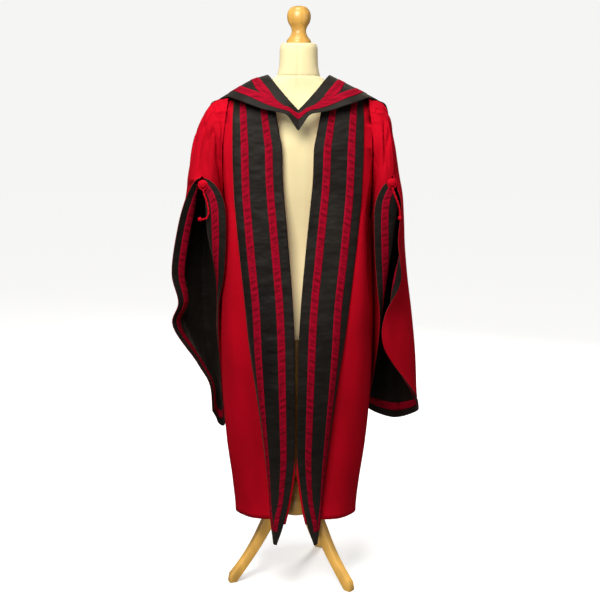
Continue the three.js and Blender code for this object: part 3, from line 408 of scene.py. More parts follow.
# The stage: places in metres, and what each lamp, the floor and the studio round it are set to
FLOOR_HALF = 14
LAMP_TARGET = (0, 0, 0.95)
LOW_SPREAD = math.radians(15)
OPENING_SPREAD = math.radians(9)
BEAM = {"spot_blend": 1.0, "shadow_soft_size": 0.15}
LAMPS = {
    "overhead": ("SUN", (0, 0, 0), (0.14, 0.14, -1), {"energy": 1.5, "angle": math.radians(28)}),
    "key": ("AREA", (-0.45, -1.35, 2.2), LAMP_TARGET, {"energy": 38, "size": 0.9, "color": (1, 0.98, 0.94)}),
    "fill": ("AREA", (2.6, -1.2, 1.5), LAMP_TARGET, {"energy": 10, "size": 2, "color": (1, 0.98, 0.96)}),
    "rear": ("AREA", (0.9, 2.2, 2.3), LAMP_TARGET, {"energy": 50, "size": 1, "color": (1, 0.98, 0.95)}),
    "low": ("SPOT", (-0.3, -1.9, 0.35), (0, -0.1, 0.05), {"energy": 80, "spot_size": LOW_SPREAD, **BEAM}),
    "opening": (
        "SPOT", (0, -2.6, 1.05), (-0.005, -0.1, 0.86), {"energy": 40, "spot_size": OPENING_SPREAD, **BEAM}),
}
LAMPS_WITHOUT_GLOSS = ("rear",)
STUDIO_LIGHT = {"Color": (1.0, 0.98, 0.95, 1), "Strength": 0.16}
STUDIO_SEEN = {"Color": (0.914, 0.912, 0.906, 1), "Strength": 1.0}
FLOOR_SURFACE = {
    "Roughness": 0.9, "Specular IOR Level": 0.05,
    "Emission Color": (1, 1, 0.99, 1), "Emission Strength": 0.36,
}


def length_setting(name, description, default):
    """A length that a user would change, with its default in millimetres."""
    return FloatProperty(name=name, description=description, default=default * MM, unit="LENGTH")


def colour_setting(name, description, default):
    """A colour that a user would change."""
    return FloatVectorProperty(name=name, description=description, subtype="COLOR", size=3, default=default)


class GownSizes(bpy.types.PropertyGroup):
    """Sizes of the cloth that a user would change."""

    cloth_wall: length_setting("Cloth", "Thickness of the gown cloth", CLOTH)
    ribbon_wall: length_setting("Ribbon", "Thickness of the velvet ribbon", RIBBON)
    ripple: length_setting("Ripple", "Height of the small waves in hanging cloth", RIPPLE)
    thread: length_setting("Thread", "Distance from thread to thread in the weave", THREAD)
    detail: IntProperty(
        name="Detail", description="Steps of fine cloth between two rows of the cut",
        default=DETAIL, min=2, max=10)


class GownColours(bpy.types.PropertyGroup):
    """Colours of the cloth, ribbon, form and stand."""

    red: colour_setting("Gown", "Scarlet cloth", (0.46, 0.0012, 0.011))
    black: colour_setting("Facing", "Black cloth", (0.0105, 0.0085, 0.0068))
    crimson: colour_setting("Ribbon", "Crimson velvet", (0.29, 0.0004, 0.014))
    cream: colour_setting("Form", "Cream jersey", (0.8, 0.69, 0.39))
    wood: colour_setting("Wood", "Varnished beech", (0.66, 0.365, 0.075))
    floor: colour_setting("Floor", "Pale studio floor", (0.9, 0.9, 0.9))


# Curves and tables


def columns_of(names, rows):
    """A table's columns by name."""
    return {name: np.array([row[k] for row in rows], float) for k, name in enumerate(names)}


def levels(heights, values):
    """A smooth function of the height through a table's column, without overshoot."""
    order = np.argsort(heights)
    z, v = heights[order], values[order]
    slope = np.diff(v) / np.diff(z)
    tangent = np.concatenate([slope[:1], np.zeros(len(slope) - 1), slope[-1:]])
    for k in range(1, len(slope)):
        before, after = slope[k - 1], slope[k]
        tangent[k] = 0 if before * after <= 0 else 2 * before * after / (before + after)

    def at(height):
        k = np.clip(np.searchsorted(z, height, side="right") - 1, 0, len(z) - 2)
        step = z[k + 1] - z[k]
        t = np.clip((height - z[k]) / step, 0, 1)
        ease = t * t * (3 - 2 * t)
        bend = t * (1 - t) ** 2 * tangent[k] - t * t * (1 - t) * tangent[k + 1]
        return v[k] + (v[k + 1] - v[k]) * ease + step * bend

    return at


def all_levels(names, rows):
    """Each column of a table as a smooth function of its z."""
    columns = columns_of(names, rows)
    return {name: levels(columns["z"], columns[name]) for name in names if name != "z"}


def smooth(value):
    """Eases from 0 to 1."""
    t = np.clip(value, 0, 1)
    return t * t * (3 - 2 * t)


def lerp(a, b, t):
    """The value that is t of the way from a to b."""
    return a + (b - a) * t


def unit(vectors):
    """The same directions with a length of 1."""
    return vectors / np.maximum(np.linalg.norm(vectors, axis=-1, keepdims=True), SHORTEST)


def run_along(line):
    """Lengths from the start of a line to each of its points."""
    return np.concatenate([[0], np.cumsum(np.linalg.norm(np.diff(line, axis=0), axis=1))])


def along_bezier(start, turn, end, share, samples=101):
    """The point of a bent line at a share of its length."""
    start, turn, end = np.array([start, turn, end], float)

    def at(t):
        return (1 - t) ** 2 * start + 2 * t * (1 - t) * turn + t * t * end

    times = np.linspace(0, 1, samples)
    run = run_along(at(times[:, None]))
    return at(np.interp(share * run[-1], run, times))


def curve_through(points):
    """A smooth curve through points, as a function from 0 to 1 with the same time between each two."""
    points = np.array(points, float)
    ends = np.concatenate([[2 * points[0] - points[1]], points, [2 * points[-1] - points[-2]]])
    last = len(points) - 1

    def at(times):
        times = np.atleast_1d(np.asarray(times, float)) * last
        k = np.clip(np.floor(times).astype(int), 0, last - 1)
        t = (times - k)[:, None]
        a, b, c, d = (ends[k + n] for n in range(4))
        gaps = [np.sum((q - p) ** 2, axis=1) ** CENTRIPETAL for p, q in ((a, b), (b, c), (c, d))]
        ab, bc, cd = (np.maximum(gap, SHORTEST_STEP)[:, None] for gap in gaps)
        leave = ((b - a) / ab - (c - a) / (ab + bc) + (c - b) / bc) * bc
        arrive = ((c - b) / bc - (d - b) / (bc + cd) + (d - c) / cd) * bc
        cubic = 2 * b - 2 * c + leave + arrive
        square = -3 * b + 3 * c - 2 * leave - arrive
        return b + leave * t + square * t ** 2 + cubic * t ** 3

    return at


def by_length(curve, samples=400):
    """The same curve as a function of the share of its length, and that length."""
    times = np.linspace(0, 1, samples + 1)
    run = run_along(curve(times))

    def at(shares):
        return curve(np.interp(np.asarray(shares) * run[-1], run, times))

    return at, run[-1]


def evenly(points, count):
    """A count of points at even lengths along a smooth curve through the given ones."""
    return by_length(curve_through(points))[0](np.linspace(0, 1, count))


def between(values, low, high):
    """Which values lie between two others or on them."""
    return (values >= low - ROUNDING) & (values <= high + ROUNDING)


def finer(values, steps):
    """A rising list of values with steps between each two of them."""
    index = np.linspace(0, len(values) - 1, (len(values) - 1) * steps + 1)
    return np.interp(index, np.arange(len(values)), values)


# Sheets of cloth: arrays of points in rows from top to bottom and columns anticlockwise seen from above


def normals_of(points):
    """The direction out of the cloth's right side at each point."""
    down = np.gradient(points, axis=0)
    along = np.gradient(points, axis=1)
    return unit(np.cross(down, along))


def lifted(points, distance, normals=None):
    """A sheet moved out along its own normals."""
    normals = normals_of(points) if normals is None else normals
    distance = np.asarray(distance, float)
    return points + normals * (distance[..., None] if distance.ndim else distance)


def mirrored(points):
    """The other half of a symmetric pair."""
    return points[:, ::-1] * np.array([-1.0, 1.0, 1.0])


def for_side(points, side):
    """A sheet that was drawn for the right side, or its mirror image for the left."""
    return mirrored(points) if side == "left" else points


def ripples(points, size, seed):
    """Small soft waves of hanging cloth, long in the direction of the fall, from -1 to 1."""
    across, along = size
    flat = points.reshape(-1, 3)
    waves = [noise.noise(Vector((p[0] / across, p[1] / across + seed, p[2] / along))) for p in flat]
    return np.array(waves).reshape(points.shape[:2])


def fold_depth(folds, at, fall):
    """How far the cloth swells out at a place across it, from the top to the hem."""
    table = columns_of(FOLD_COLUMNS, folds)
    depth = 0
    for centre, width, top, hem in zip(table["at"], table["width"], table["top"], table["hem"]):
        depth = depth + lerp(top, hem, fall) * np.exp(-(((at - centre) / width) ** 2))
    return depth


def to_row(points):
    """Millimetres from the pole's axis as metres in the part's own frame."""
    return np.asarray(points, float) * MM + POLE_AXIS


def spacing(points):
    """Distances from point to point across a sheet and down it."""
    return (np.linalg.norm(np.diff(points, axis=axis), axis=2) for axis in (1, 0))


def grid_lengths(points):
    """Lengths across and down the cloth at each point, for its weave."""
    across, down = spacing(points)
    u = np.concatenate([np.zeros((len(points), 1)), np.cumsum(across, axis=1)], axis=1)
    u = u - u.mean(axis=1, keepdims=True)
    v = np.concatenate([np.zeros((1, points.shape[1])), np.cumsum(down, axis=0)], axis=0)
    return np.stack([u, v], axis=2)


def link(name, build_mesh):
    """A new object at the origin that holds the given bmesh."""
    mesh = bpy.data.meshes.new(name)
    build_mesh.to_mesh(mesh)
    build_mesh.free()
    mesh.polygons.foreach_set("use_smooth", [True] * len(mesh.polygons))
    piece = bpy.data.objects.new(name, mesh)
    bpy.context.scene.collection.objects.link(piece)
    return piece


def grid_mesh(points):
    """A bmesh grid placed on a sheet's points, right side out."""
    rows, columns = points.shape[:2]
    sheet = bmesh.new()
    bmesh.ops.create_grid(sheet, x_segments=columns - 1, y_segments=rows - 1, size=1)
    if len(sheet.verts) != rows * columns:
        raise RuntimeError("the cloth grid has another count of points")
    place = to_row(points).reshape(-1, 3)
    for corner, point in zip(sheet.verts, place):
        corner.co = point
    bmesh.ops.reverse_faces(sheet, faces=sheet.faces[:])
    return sheet


def dress(piece, node, finish):
    """Gives a piece its finish and puts it in its solid's place."""
    piece.data.materials.append(finishes()[finish])
    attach(piece, "root")
    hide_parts(node)
    return piece


def cloth(node, points, finish):
    """A thin closed wall of cloth on a sheet's points, in its solid's place."""
    sizes = bpy.context.scene.gown_sizes
    piece = link(node + "_cloth", grid_mesh(points))
    mesh = piece.data
    lengths = grid_lengths(to_row(points)).reshape(-1, 2)
    corners = np.zeros(len(mesh.loops), np.int32)
    mesh.loops.foreach_get("vertex_index", corners)
    weave = mesh.uv_layers.new(name="weave")
    weave.data.foreach_set("uv", lengths[corners].astype(np.float32).ravel())
    thicken = piece.modifiers.new("wall", "SOLIDIFY")
    thicken.thickness = sizes.ribbon_wall if finish == "ribbon_velvet" else sizes.cloth_wall
    thicken.offset = 0
    thicken.use_rim = True
    return dress(piece, node, finish)


# Materials

SOFT_RAMP = (0.3, 0.7)
# Marks of uneven dye; on the black cloth their wide tones are painted sheen as well
DYE_AND_SHEEN_MARKS = ((9, 9, 5), 3)
THREAD_RELIEF = (0.0004, 0.5)
UPRIGHT_GRAIN = ((60, 60, 5), 5)
LEG_GRAIN = ((26, 26, 10), 5)
CLOTH_SHEEN = {"Sheen Weight": 0.06, "Sheen Roughness": 0.45}


class Tree:
    """The nodes of a material, a node group or a world, and the links between them."""

    def __init__(self, tree):
        self.nodes, self.links = tree.nodes, tree.links

    def feed(self, node, values):
        """Sets a node's sockets to constants, or joins them to the outputs of other nodes."""
        for socket, value in values.items():
            if isinstance(value, bpy.types.NodeSocket):
                self.links.new(value, node.inputs[socket])
            else:
                node.inputs[socket].default_value = value
        return node

    def add(self, kind, values, **settings):
        """A new node with its settings made and its sockets fed."""
        node = self.nodes.new("ShaderNode" + kind)
        for name, value in settings.items():
            setattr(node, name, value)
        return self.feed(node, values)

    def mottle(self, place, marks):
        """An amount that changes over the surface in marks of a given size."""
        stretch, detail = marks
        values = {"Place": place, "Stretch": stretch, "Detail": detail}
        return self.add("Group", values, node_tree=bpy.data.node_groups["Mottle"]).outputs["Amount"]

    def tones(self, amount, colour, look):
        """A finish's colour, made darker and lighter by an amount that changes over the surface."""
        low, high = look["ramp"]
        ramp = self.add("MapRange", {"From Min": low, "From Max": high, "Value": amount})
        mix = self.add("Mix", {"Factor": ramp.outputs["Result"]}, data_type="RGBA")
        ends = [socket for socket in mix.inputs if socket.type == "RGBA"]
        for socket, factor in zip(ends, look["tones"]):
            socket.default_value = (*shade(colour, factor), 1)
        return next(socket for socket in mix.outputs if socket.type == "RGBA")

    def relief(self, height, amounts, under=None):
        """A bump from a height that changes over the surface, on top of another if one is given."""
        distance, strength = amounts
        bump = self.add("Bump", {"Distance": distance, "Strength": strength, "Height": height})
        if under is not None:
            self.feed(bump, {"Normal": under})
        return bump.outputs["Normal"]


def new_group(name, inputs, output):
    """An empty node group, the sockets that it is given and the node that takes what it makes."""
    group = bpy.data.node_groups.new(name, "ShaderNodeTree")
    for label, kind in inputs.items():
        group.interface.new_socket(label, in_out="INPUT", socket_type="NodeSocket" + kind)
    group.interface.new_socket(output, in_out="OUTPUT", socket_type="NodeSocketFloat")
    return group, group.nodes.new("NodeGroupInput").outputs, group.nodes.new("NodeGroupOutput")


def weave_group():
    """Threads that pass over and under each other, on the cloth's own lengths."""
    group, given, made = new_group("Weave", {"Lengths": "Vector", "Threads": "Float"}, "Height")
    tree = Tree(group)
    scaled = tree.add("VectorMath", {0: given["Lengths"], "Scale": given["Threads"]}, operation="SCALE")
    parts = tree.add("SeparateXYZ", {"Vector": scaled.outputs["Vector"]})
    warp, weft = (tree.add("Math", {0: parts.outputs[axis]}, operation="SINE") for axis in ("X", "Y"))
    crossed = tree.add("Math", {0: warp.outputs[0], 1: weft.outputs[0]}, operation="MULTIPLY")
    height = tree.add("Math", {0: crossed.outputs[0], 1: 0.5, 2: 0.5}, operation="MULTIPLY_ADD")
    tree.feed(made, {"Height": height.outputs[0]})


def mottle_group():
    """Uneven light and dark of dyed cloth and wood, in the given direction."""
    group, given, made = new_group(
        "Mottle", {"Place": "Vector", "Stretch": "Vector", "Detail": "Float"}, "Amount")
    tree = Tree(group)
    stretched = tree.add("VectorMath", {0: given["Place"], 1: given["Stretch"]}, operation="MULTIPLY")
    place = stretched.outputs["Vector"]
    cloud = tree.add("TexNoise", {"Vector": place, "Scale": 1.0, "Detail": given["Detail"]})
    tree.feed(made, {"Amount": cloud.outputs["Fac"]})


def new_material(name, values):
    """A new material, its nodes and its surface with constants set."""
    material = bpy.data.materials.new(name)
    material.use_nodes = True
    tree = Tree(material.node_tree)
    return material, tree, tree.feed(tree.nodes["Principled BSDF"], values)


def shade(colour, factor):
    """A colour made darker or lighter."""
    return tuple(min(1.0, channel * factor) for channel in colour)


def woven(name, colour, look):
    """Plain woven cloth with an uneven dye, small creases and a soft sheen; with wide tones the dye's marks
    are painted sheen as well.
    """
    material, tree, surface = new_material(name, look["surface"])
    lengths = tree.add("UVMap", {}, uv_map="weave").outputs["UV"]
    place = tree.add("TexCoord", {}).outputs["Object"]
    threads = math.pi / bpy.context.scene.gown_sizes.thread
    weave = tree.add("Group", {}, node_tree=bpy.data.node_groups["Weave"])
    tree.feed(weave, {"Lengths": lengths, "Threads": threads})
    creases = tree.relief(tree.mottle(place, look["crush"]), look["relief"])
    # The base colour's marks are uneven dye, and on the black cloth painted sheen too
    tree.feed(surface, {
        "Base Color": tree.tones(tree.mottle(place, DYE_AND_SHEEN_MARKS), colour, look),
        "Normal": tree.relief(weave.outputs["Height"], THREAD_RELIEF, creases),
        "Sheen Tint": (*shade(colour, 1 / max(colour)), 1),
    })
    return material


def velvet(name, colour, look):
    """Velvet ribbon with darker marks where the pile is pressed, and a plain stitched edge."""
    material, tree, surface = new_material(name, look["surface"])
    lengths = tree.add("UVMap", {}, uv_map="weave").outputs["UV"]
    parts = tree.add("SeparateXYZ", {"Vector": lengths})
    aside = tree.add("Math", {0: parts.outputs["X"]}, operation="ABSOLUTE")
    edge = tree.add("MapRange", {"Value": aside.outputs[0], **look["edge"]})
    marks = tree.mottle(lengths, look["marks"])
    raised = tree.add("Math", {0: marks, 1: edge.outputs["Result"]}, operation="ADD").outputs[0]
    tree.feed(surface, {
        "Base Color": tree.tones(raised, colour, look),
        "Normal": tree.relief(raised, look["relief"]),
    })
    return material


def grained(name, colour, look):
    """A fine knit or varnished wood: an uneven tone and a low relief."""
    material, tree, surface = new_material(name, look["surface"])
    place = tree.add("TexCoord", {}).outputs["Object"]
    tree.feed(surface, {
        "Base Color": tree.tones(tree.mottle(place, look["marks"]), colour, look),
        "Normal": tree.relief(tree.mottle(place, look["grain"]), look["relief"]),
    })
    return material


# How each finish looks. Tones darken and lighten its colour, over a ramp of the amount that its marks give.
# Marks, crush and grain are counts in each metre with a level of detail, and a relief is a height in metres
# with a strength. The edge is a distance in metres from the middle of the ribbon.
WOOD = {
    "make": grained, "colour": "wood", "slot": "wood", "ramp": (0.34, 0.66), "relief": (0.0008, 0.25),
    "surface": {"Roughness": 0.38, "Coat Weight": 0.25, "Coat Roughness": 0.2},
}
LOOKS = {
    "scarlet_cloth": {
        "make": woven, "colour": "red", "slot": "red_cloth", "tones": (0.85, 1.14), "ramp": SOFT_RAMP,
        "crush": ((34, 34, 13), 2), "relief": (0.0014, 1),
        "surface": {"Roughness": 0.85, "Specular IOR Level": 0.06, **CLOTH_SHEEN},
    },
    # The black cloth's wide tones make its dye marks painted sheen as well as uneven dye
    "charcoal_cloth": {
        "make": woven, "colour": "black", "slot": "black_cloth", "tones": (0.5, 1.6), "ramp": SOFT_RAMP,
        "crush": ((13, 13, 25), 2), "relief": (0.009, 1),
        "surface": {"Roughness": 0.55, "Specular IOR Level": 0.12, **CLOTH_SHEEN},
    },
    "ribbon_velvet": {
        "make": velvet, "colour": "crimson", "slot": "crimson_velvet", "tones": (0.5, 1.12),
        "ramp": (0.4, 0.6), "marks": ((22, 105, 1), 1.5), "relief": (0.001, 0.4),
        "edge": {"From Min": 0.0055, "From Max": 0.0085, "To Max": 0.16},
        "surface": {
            "Roughness": 0.85, "Specular IOR Level": 0.08, "Sheen Weight": 0.1, "Sheen Roughness": 0.3,
            "Sheen Tint": (1.0, 0.01, 0.05, 1),
        },
    },
    "cream_jersey": {
        "make": grained, "colour": "cream", "slot": "form_cloth", "tones": (0.93, 1.04), "ramp": SOFT_RAMP,
        "marks": ((6, 6, 6), 3), "grain": ((520, 520, 900), 1), "relief": (0.0006, 0.4),
        "surface": {"Roughness": 0.8, "Specular IOR Level": 0.25, "Sheen Weight": 0.2},
    },
    "upright_wood": {"tones": (0.8, 1.12), "marks": UPRIGHT_GRAIN, "grain": UPRIGHT_GRAIN, **WOOD},
    # The legs use the same beech made 1.35 times lighter: painted light, standing in for the lamp light that
    # falls short low down
    "leg_wood": {"tones": (1.08, 1.512), "marks": LEG_GRAIN, "grain": LEG_GRAIN, **WOOD},
}


def finishes():
    """The materials by name, made once."""
    colours = bpy.context.scene.gown_colours
    for name, make in (("Weave", weave_group), ("Mottle", mottle_group)):
        if name not in bpy.data.node_groups:
            make()
    made = {}
    for name, look in LOOKS.items():
        colour = getattr(colours, look["colour"])
        made[name] = bpy.data.materials.get(name) or look["make"](name, colour, look)
    return made


# Dress form and stand


def shoulder_ridge(x):
    """Height of the form's shoulder at a distance out from the middle."""
    slope = [(row[1], row[0]) for row in FORM if row[0] >= SHOULDER_LOW and row[1] >= NECK_ROOT]
    index = max(next((k for k, row in enumerate(slope) if row[0] <= x), 1), 1)
    (low_x, low_z), (high_x, high_z) = slope[index - 1], slope[index]
    return lerp(high_z, low_z, (x - high_x) / (low_x - high_x))


def form_points():
    """Rings of the dress form from top to bottom, with its seams pressed in."""
    at = all_levels(FORM_COLUMNS, FORM)
    rows = columns_of(FORM_COLUMNS, FORM)
    seam_rows = FORM_SEAM_HEIGHT + np.array(SEAM_ROWS)
    heights = np.concatenate([finer(rows["z"], FORM_ROW_STEPS), seam_rows])
    heights = sorted(set(np.round(heights, 3)), reverse=True)
    angle = np.linspace(0, 2 * np.pi, FORM_SIDES + 1)
    power = 2 / FORM_SQUARENESS
    rings = []
    for z in heights:
        half, front, back = (float(at[name](z)) for name in ("half", "front", "back"))
        half = min(half, np.interp(z, rows["z"], rows["half"]))
        c, s = np.cos(angle), np.sin(angle)
        depth = np.where(s < 0, front, back)
        x = half * np.sign(c) * np.abs(c) ** power
        y = depth * np.sign(s) * np.abs(s) ** power
        ring = np.stack([x, y, np.full_like(x, z)], axis=1)
        seam = np.exp(-(((z - FORM_SEAM_HEIGHT) / SEAM_WIDTH) ** 2))
        upright = np.exp(-((x / SEAM_WIDTH) ** 2)) * (s < 0)
        pressed = SEAM_DEPTH * np.maximum(seam, upright)
        ring[:, :2] *= (1 - pressed / np.hypot(x, y))[:, None]
        rings.append(ring)
    return np.array(rings)


def ring_solid(name, rings):
    """A closed solid through rings from top to bottom."""
    solid = grid_mesh(rings)
    bmesh.ops.remove_doubles(solid, verts=solid.verts[:], dist=MERGED * MM)
    open_edges = [edge for edge in solid.edges if edge.is_boundary]
    bmesh.ops.holes_fill(solid, edges=open_edges, sides=0)
    bmesh.ops.recalc_face_normals(solid, faces=solid.faces[:])
    return link(name, solid)


def turned(name, profile, sides=48, steps=5):
    """A solid turned on the pole's axis."""
    corners = np.array(profile, float)
    round_part = corners[1:-1]
    line = evenly(round_part, (len(round_part) - 1) * steps + 1)
    outline = np.concatenate([corners[:1], line, corners[-1:]])
    solid = bmesh.new()
    points = [solid.verts.new(to_row((radius, 0, z))) for radius, z in outline]
    edges = [solid.edges.new(pair) for pair in zip(points[:-1], points[1:])]
    bmesh.ops.spin(
        solid, geom=points + edges, cent=Vector(POLE_AXIS), axis=(0, 0, 1), angle=2 * math.pi, steps=sides,
        use_merge=True)
    bmesh.ops.remove_doubles(solid, verts=solid.verts[:], dist=MERGED * MM)
    bmesh.ops.recalc_face_normals(solid, faces=solid.faces[:])
    return link(name, solid)


def leg(name, angle):
    """A shaped board that runs out and down from the hub."""
    table = columns_of(LEG_COLUMNS, LEG_LINE)
    reach, z, depth = table["reach"], table["z"], table["depth"]
    along = unit(np.stack([np.gradient(reach), np.gradient(z)], axis=1))
    across = np.stack([-along[:, 1], along[:, 0]], axis=1) * depth[:, None] / 2
    middle = np.stack([LEG_ROOT + reach, z], axis=1)
    upper, lower = middle + across, middle - across
    upper[0, 0] = lower[0, 0] = LEG_ROOT + LEG_CLEAR
    lower[-1, 1] = 0
    toe = np.array([[upper[-1, 0] + LEG_TOE, 0]])
    outline = np.concatenate([evenly(lower, LEG_EDGE_POINTS), toe, evenly(upper, LEG_EDGE_POINTS)[::-1]])
    board = bmesh.new()
    turn = math.radians(angle - 90)
    out = np.array([math.cos(turn), math.sin(turn), 0])
    side = np.array([-math.sin(turn), math.cos(turn), 0]) * LEG_THICK
    place = [out * r + np.array([0, 0, h]) - side / 2 for r, h in outline]
    face = board.faces.new([board.verts.new(to_row(point)) for point in place])
    pushed = bmesh.ops.extrude_face_region(board, geom=[face])
    far = [item for item in pushed["geom"] if isinstance(item, bmesh.types.BMVert)]
    bmesh.ops.translate(board, verts=far, vec=Vector(side * MM))
    bmesh.ops.recalc_face_normals(board, faces=board.faces[:])
    rims = [edge for edge in board.edges if edge.calc_face_angle(0) > LEG_RIM_ANGLE]
    bmesh.ops.bevel(
        board, geom=rims, offset=LEG_ROUNDING * MM, segments=2, profile=0.5, affect="EDGES", material=-1)
    return link(name, board)


# Gown body


FRONT_AT = all_levels(FRONT_COLUMNS, FRONT)
BACK_AT = all_levels(BACK_COLUMNS, BACK)


def roll(drop, within):
    """A quarter circle that turns the cloth over the shoulder."""
    return np.sqrt(1 - (1 - np.clip(drop / within, 0, 1)) ** 2)


def level_of(table, z):
    """A table's plan sizes at a height."""
    return {name: float(at(z)) for name, at in table.items()}


def facing_plan(z, share):
    """A point across the facing at a height."""
    level = level_of(FRONT_AT, z)
    edge, wrap = ((level[name + "_x"], level[name + "_y"]) for name in ("edge", "wrap"))
    return along_bezier(edge, (wrap[0], edge[1]), wrap, share)


def red_plan(z, share):
    """A point across the red front beside the facing at a height."""
    level = level_of(FRONT_AT, z)
    wrap, side = ((level[name + "_x"], level[name + "_y"]) for name in ("wrap", "side"))
    return along_bezier(wrap, (side[0], level["bow"]), side, share)


def back_plan(z, share):
    """A point across half the back at a height."""
    level = level_of(BACK_AT, z)
    side = (level["side_x"], level["side_y"])
    return along_bezier((0, level["back_y"]), (side[0], level["back_y"]), side, share)


def facing_share(column, z):
    """The share of the facing's width of a column, given as a number between the stripes' edges."""
    closing = smooth((POINT_TOP - z) / (POINT_TOP - RIBBONS_MEET))
    shares = lerp(BAND_EDGES / BAND_EDGES[-1], FACING_POINT_SHARES, closing)
    return np.interp(column, np.arange(len(shares)), shares)


def facing_top(column):
    """The height where a column of the facing lies over the shoulder."""
    share = np.interp(column, np.arange(len(BAND_EDGES)), BAND_EDGES / BAND_EDGES[-1])
    z = FRONT[0][0]
    for _ in range(RIDGE_PASSES):
        z = shoulder_ridge(facing_plan(z, share)[0]) + RIDGE_SEAT
    return z


def facing_point(column, top, z):
    """A point of the facing's own surface, before it is lifted off the red front."""
    x, y = facing_plan(z, facing_share(column, z))
    return (x, y * roll(top - z, FRONT_ROLL), z)


def red_point(share, top, z):
    """A point of the red front, whose columns fan out from the armhole."""
    spread = smooth((z - SPREAD_BY) / (top - SPREAD_BY))
    x, y = red_plan(z, lerp(share, 1, spread))
    return (x, y, z)


def front_sheets(detail):
    """The right half's red front and facing with their normals, and the facing's columns."""
    columns = np.linspace(0, len(BAND_EDGES) - 1, (len(BAND_EDGES) - 1) * detail + 1)
    tops = np.array([facing_top(column) for column in columns])
    rows = finer(FRONT_ROWS, detail + 1)
    red = columns_of(RED_COLUMNS, RED_FRONT)
    shares = finer(np.concatenate([[0], red["share"]]), detail)[1:]
    starts = np.interp(shares, [0, *red["share"]], [tops[-1], *red["top"]])
    facing, body = [], []
    for v in rows:
        stripe = np.array([facing_point(c, top, lerp(top, HEM, v)) for c, top in zip(columns, tops)])
        beside = np.array([red_point(s, top, lerp(top, HEM, v)) for s, top in zip(shares, starts)])
        shown = smooth((RED_EDGE_FROM - stripe[0, 2]) / (RED_EDGE_FROM - RED_EDGE_FULL))
        past = stripe[0] - stripe[1]
        edge = stripe[0] + unit(past) * shown * RED_EDGE_WIDTH
        facing.append(stripe)
        body.append(np.concatenate([[edge], stripe[1:], beside]))
    for z in finer([HEM, *POINT_ROWS], detail)[1:]:
        facing.append(np.array([facing_point(c, top, z) for c, top in zip(columns, tops)]))
    body, facing = np.array(body), np.array(facing)
    beside = np.concatenate([np.zeros(len(columns)), shares])
    still = smooth((1 - beside) * FRONT_STILL) * smooth(beside * FRONT_STILL)
    folds = np.array([fold_depth(FRONT_FOLDS, beside, v) for v in rows]) * still
    body_out = normals_of(body)
    body_out[0, :len(columns)] = RIDGE_NORMAL
    facing_out = normals_of(facing)
    facing_out[0] = RIDGE_NORMAL
    return lifted(body, folds, body_out), body_out, facing, facing_out, columns


def hanging(points, amount, seed):
    """Heights of the soft waves of hanging cloth, still where it lies on the shoulder."""
    settle = smooth((STILL_ABOVE - points[:, :, 2]) / STILL_OVER)
    broad = ripples(points, BROAD_WAVE_SIZE, seed)
    small = ripples(points, SMALL_WAVE_SIZE, seed + SMALL_WAVE_SEED)
    return amount * settle * (broad + SMALL_WAVES * small)


# Sleeves


def section_shares(section):
    """Shares along a sleeve's section for the cut's columns, closer where it turns."""
    curve, length = by_length(section)
    sample = curve(np.linspace(0, 1, SLEEVE_SAMPLES + 1))
    step = unit(np.diff(sample, axis=0))
    turn = np.arccos(np.clip(np.sum(step[:-1] * step[1:], axis=1), -1, 1))
    turn = np.concatenate([turn, [0]])
    weight = np.concatenate([[0], np.cumsum(length / SLEEVE_SAMPLES + TURN_WEIGHT * turn)])
    edge = np.array([min(d / length, most) for d, most in zip(SLEEVE_EDGE, SLEEVE_EDGE_SHARE)])
    at = np.linspace(0, 1, SLEEVE_SAMPLES + 1)
    low, high = np.interp([edge[-1], 1 - edge[-1]], at, weight)
    wanted = np.linspace(low, high, SLEEVE_MIDDLE_COLUMNS + 2)[1:-1]
    return np.concatenate([edge, np.interp(wanted, weight, at), 1 - edge[::-1]])


def sleeve_sheet(sections, ripple, seed):
    """A right sleeve's surface, its rows as places among the sections, the hem's rows and its columns."""
    lines = [curve_through([section[k] for section in sections]) for k in range(len(SLEEVE_LINES))]
    end = len(sections) - 1
    drops = np.linalg.norm(np.array(sections[end], float) - np.array(sections[end - 1], float), axis=1)
    hem = [end - distance / drops.mean() for distance in reversed(SLEEVE_EDGE)]
    marks = [0, LINING_FROM, *hem]
    counts = [SLEEVE_HEAD_ROWS, SLEEVE_BODY_ROWS, SLEEVE_HEM_ROWS, SLEEVE_HEM_ROWS]
    rows = [np.linspace(a, b, n + 1)[:-1] for a, b, n in zip(marks, marks[1:], counts)]
    rows = np.concatenate([*rows, [end]])
    points = []
    for row in rows:
        section = curve_through([line(row / end)[0] for line in lines])
        points.append(by_length(section)[0](finer(section_shares(section), SLEEVE_FINE)))
    points = np.array(points)
    column_count = (points.shape[1] - 1) // SLEEVE_FINE
    columns = np.linspace(0, column_count, points.shape[1])
    over = np.sin(np.pi * columns / column_count) ** SLEEVE_EDGE_POWER
    rise = lerp(HEAD_AT_SEAM, 1, smooth(rows / HEAD_SEAM_ROWS))[:, None]
    gathers = HEAD_GATHER_DEPTH * (1 - smooth(rows / HEAD_GATHER_ROWS))[:, None] * rise
    puckers = PUCKER_DEPTH * (1 - smooth(rows / PUCKER_ROWS))[:, None] * rise
    settle = smooth((rows - SLEEVE_WAVES_FROM) / SLEEVE_WAVES_OVER)[:, None]
    waves = ripple * ripples(points, SLEEVE_WAVE_SIZE, seed) * settle
    head = smooth((points[0, :, 2] - HEAD_FROM) / HEAD_RISE)
    creases = np.clip(1 - np.abs(ripples(points, PLEAT_SIZE, seed)) * PLEAT_SHARP, 0, 1) ** PLEAT_POWER
    pleats = PLEAT_DEPTH * creases * smooth((points[:, :, 2] - PLEATS_FROM) / PLEATS_RISE) * rise
    height = gathers * (0.5 + 0.5 * np.cos(np.pi * columns))
    drift = PUCKER_DRIFT * np.sin(columns * PUCKER_DRIFT_RATE)
    height = height + puckers * np.cos(2 * np.pi * PUCKERS_EACH * columns + drift)
    return lifted(points, over * (head * height - pleats) + waves), rows, hem, columns


# Hood


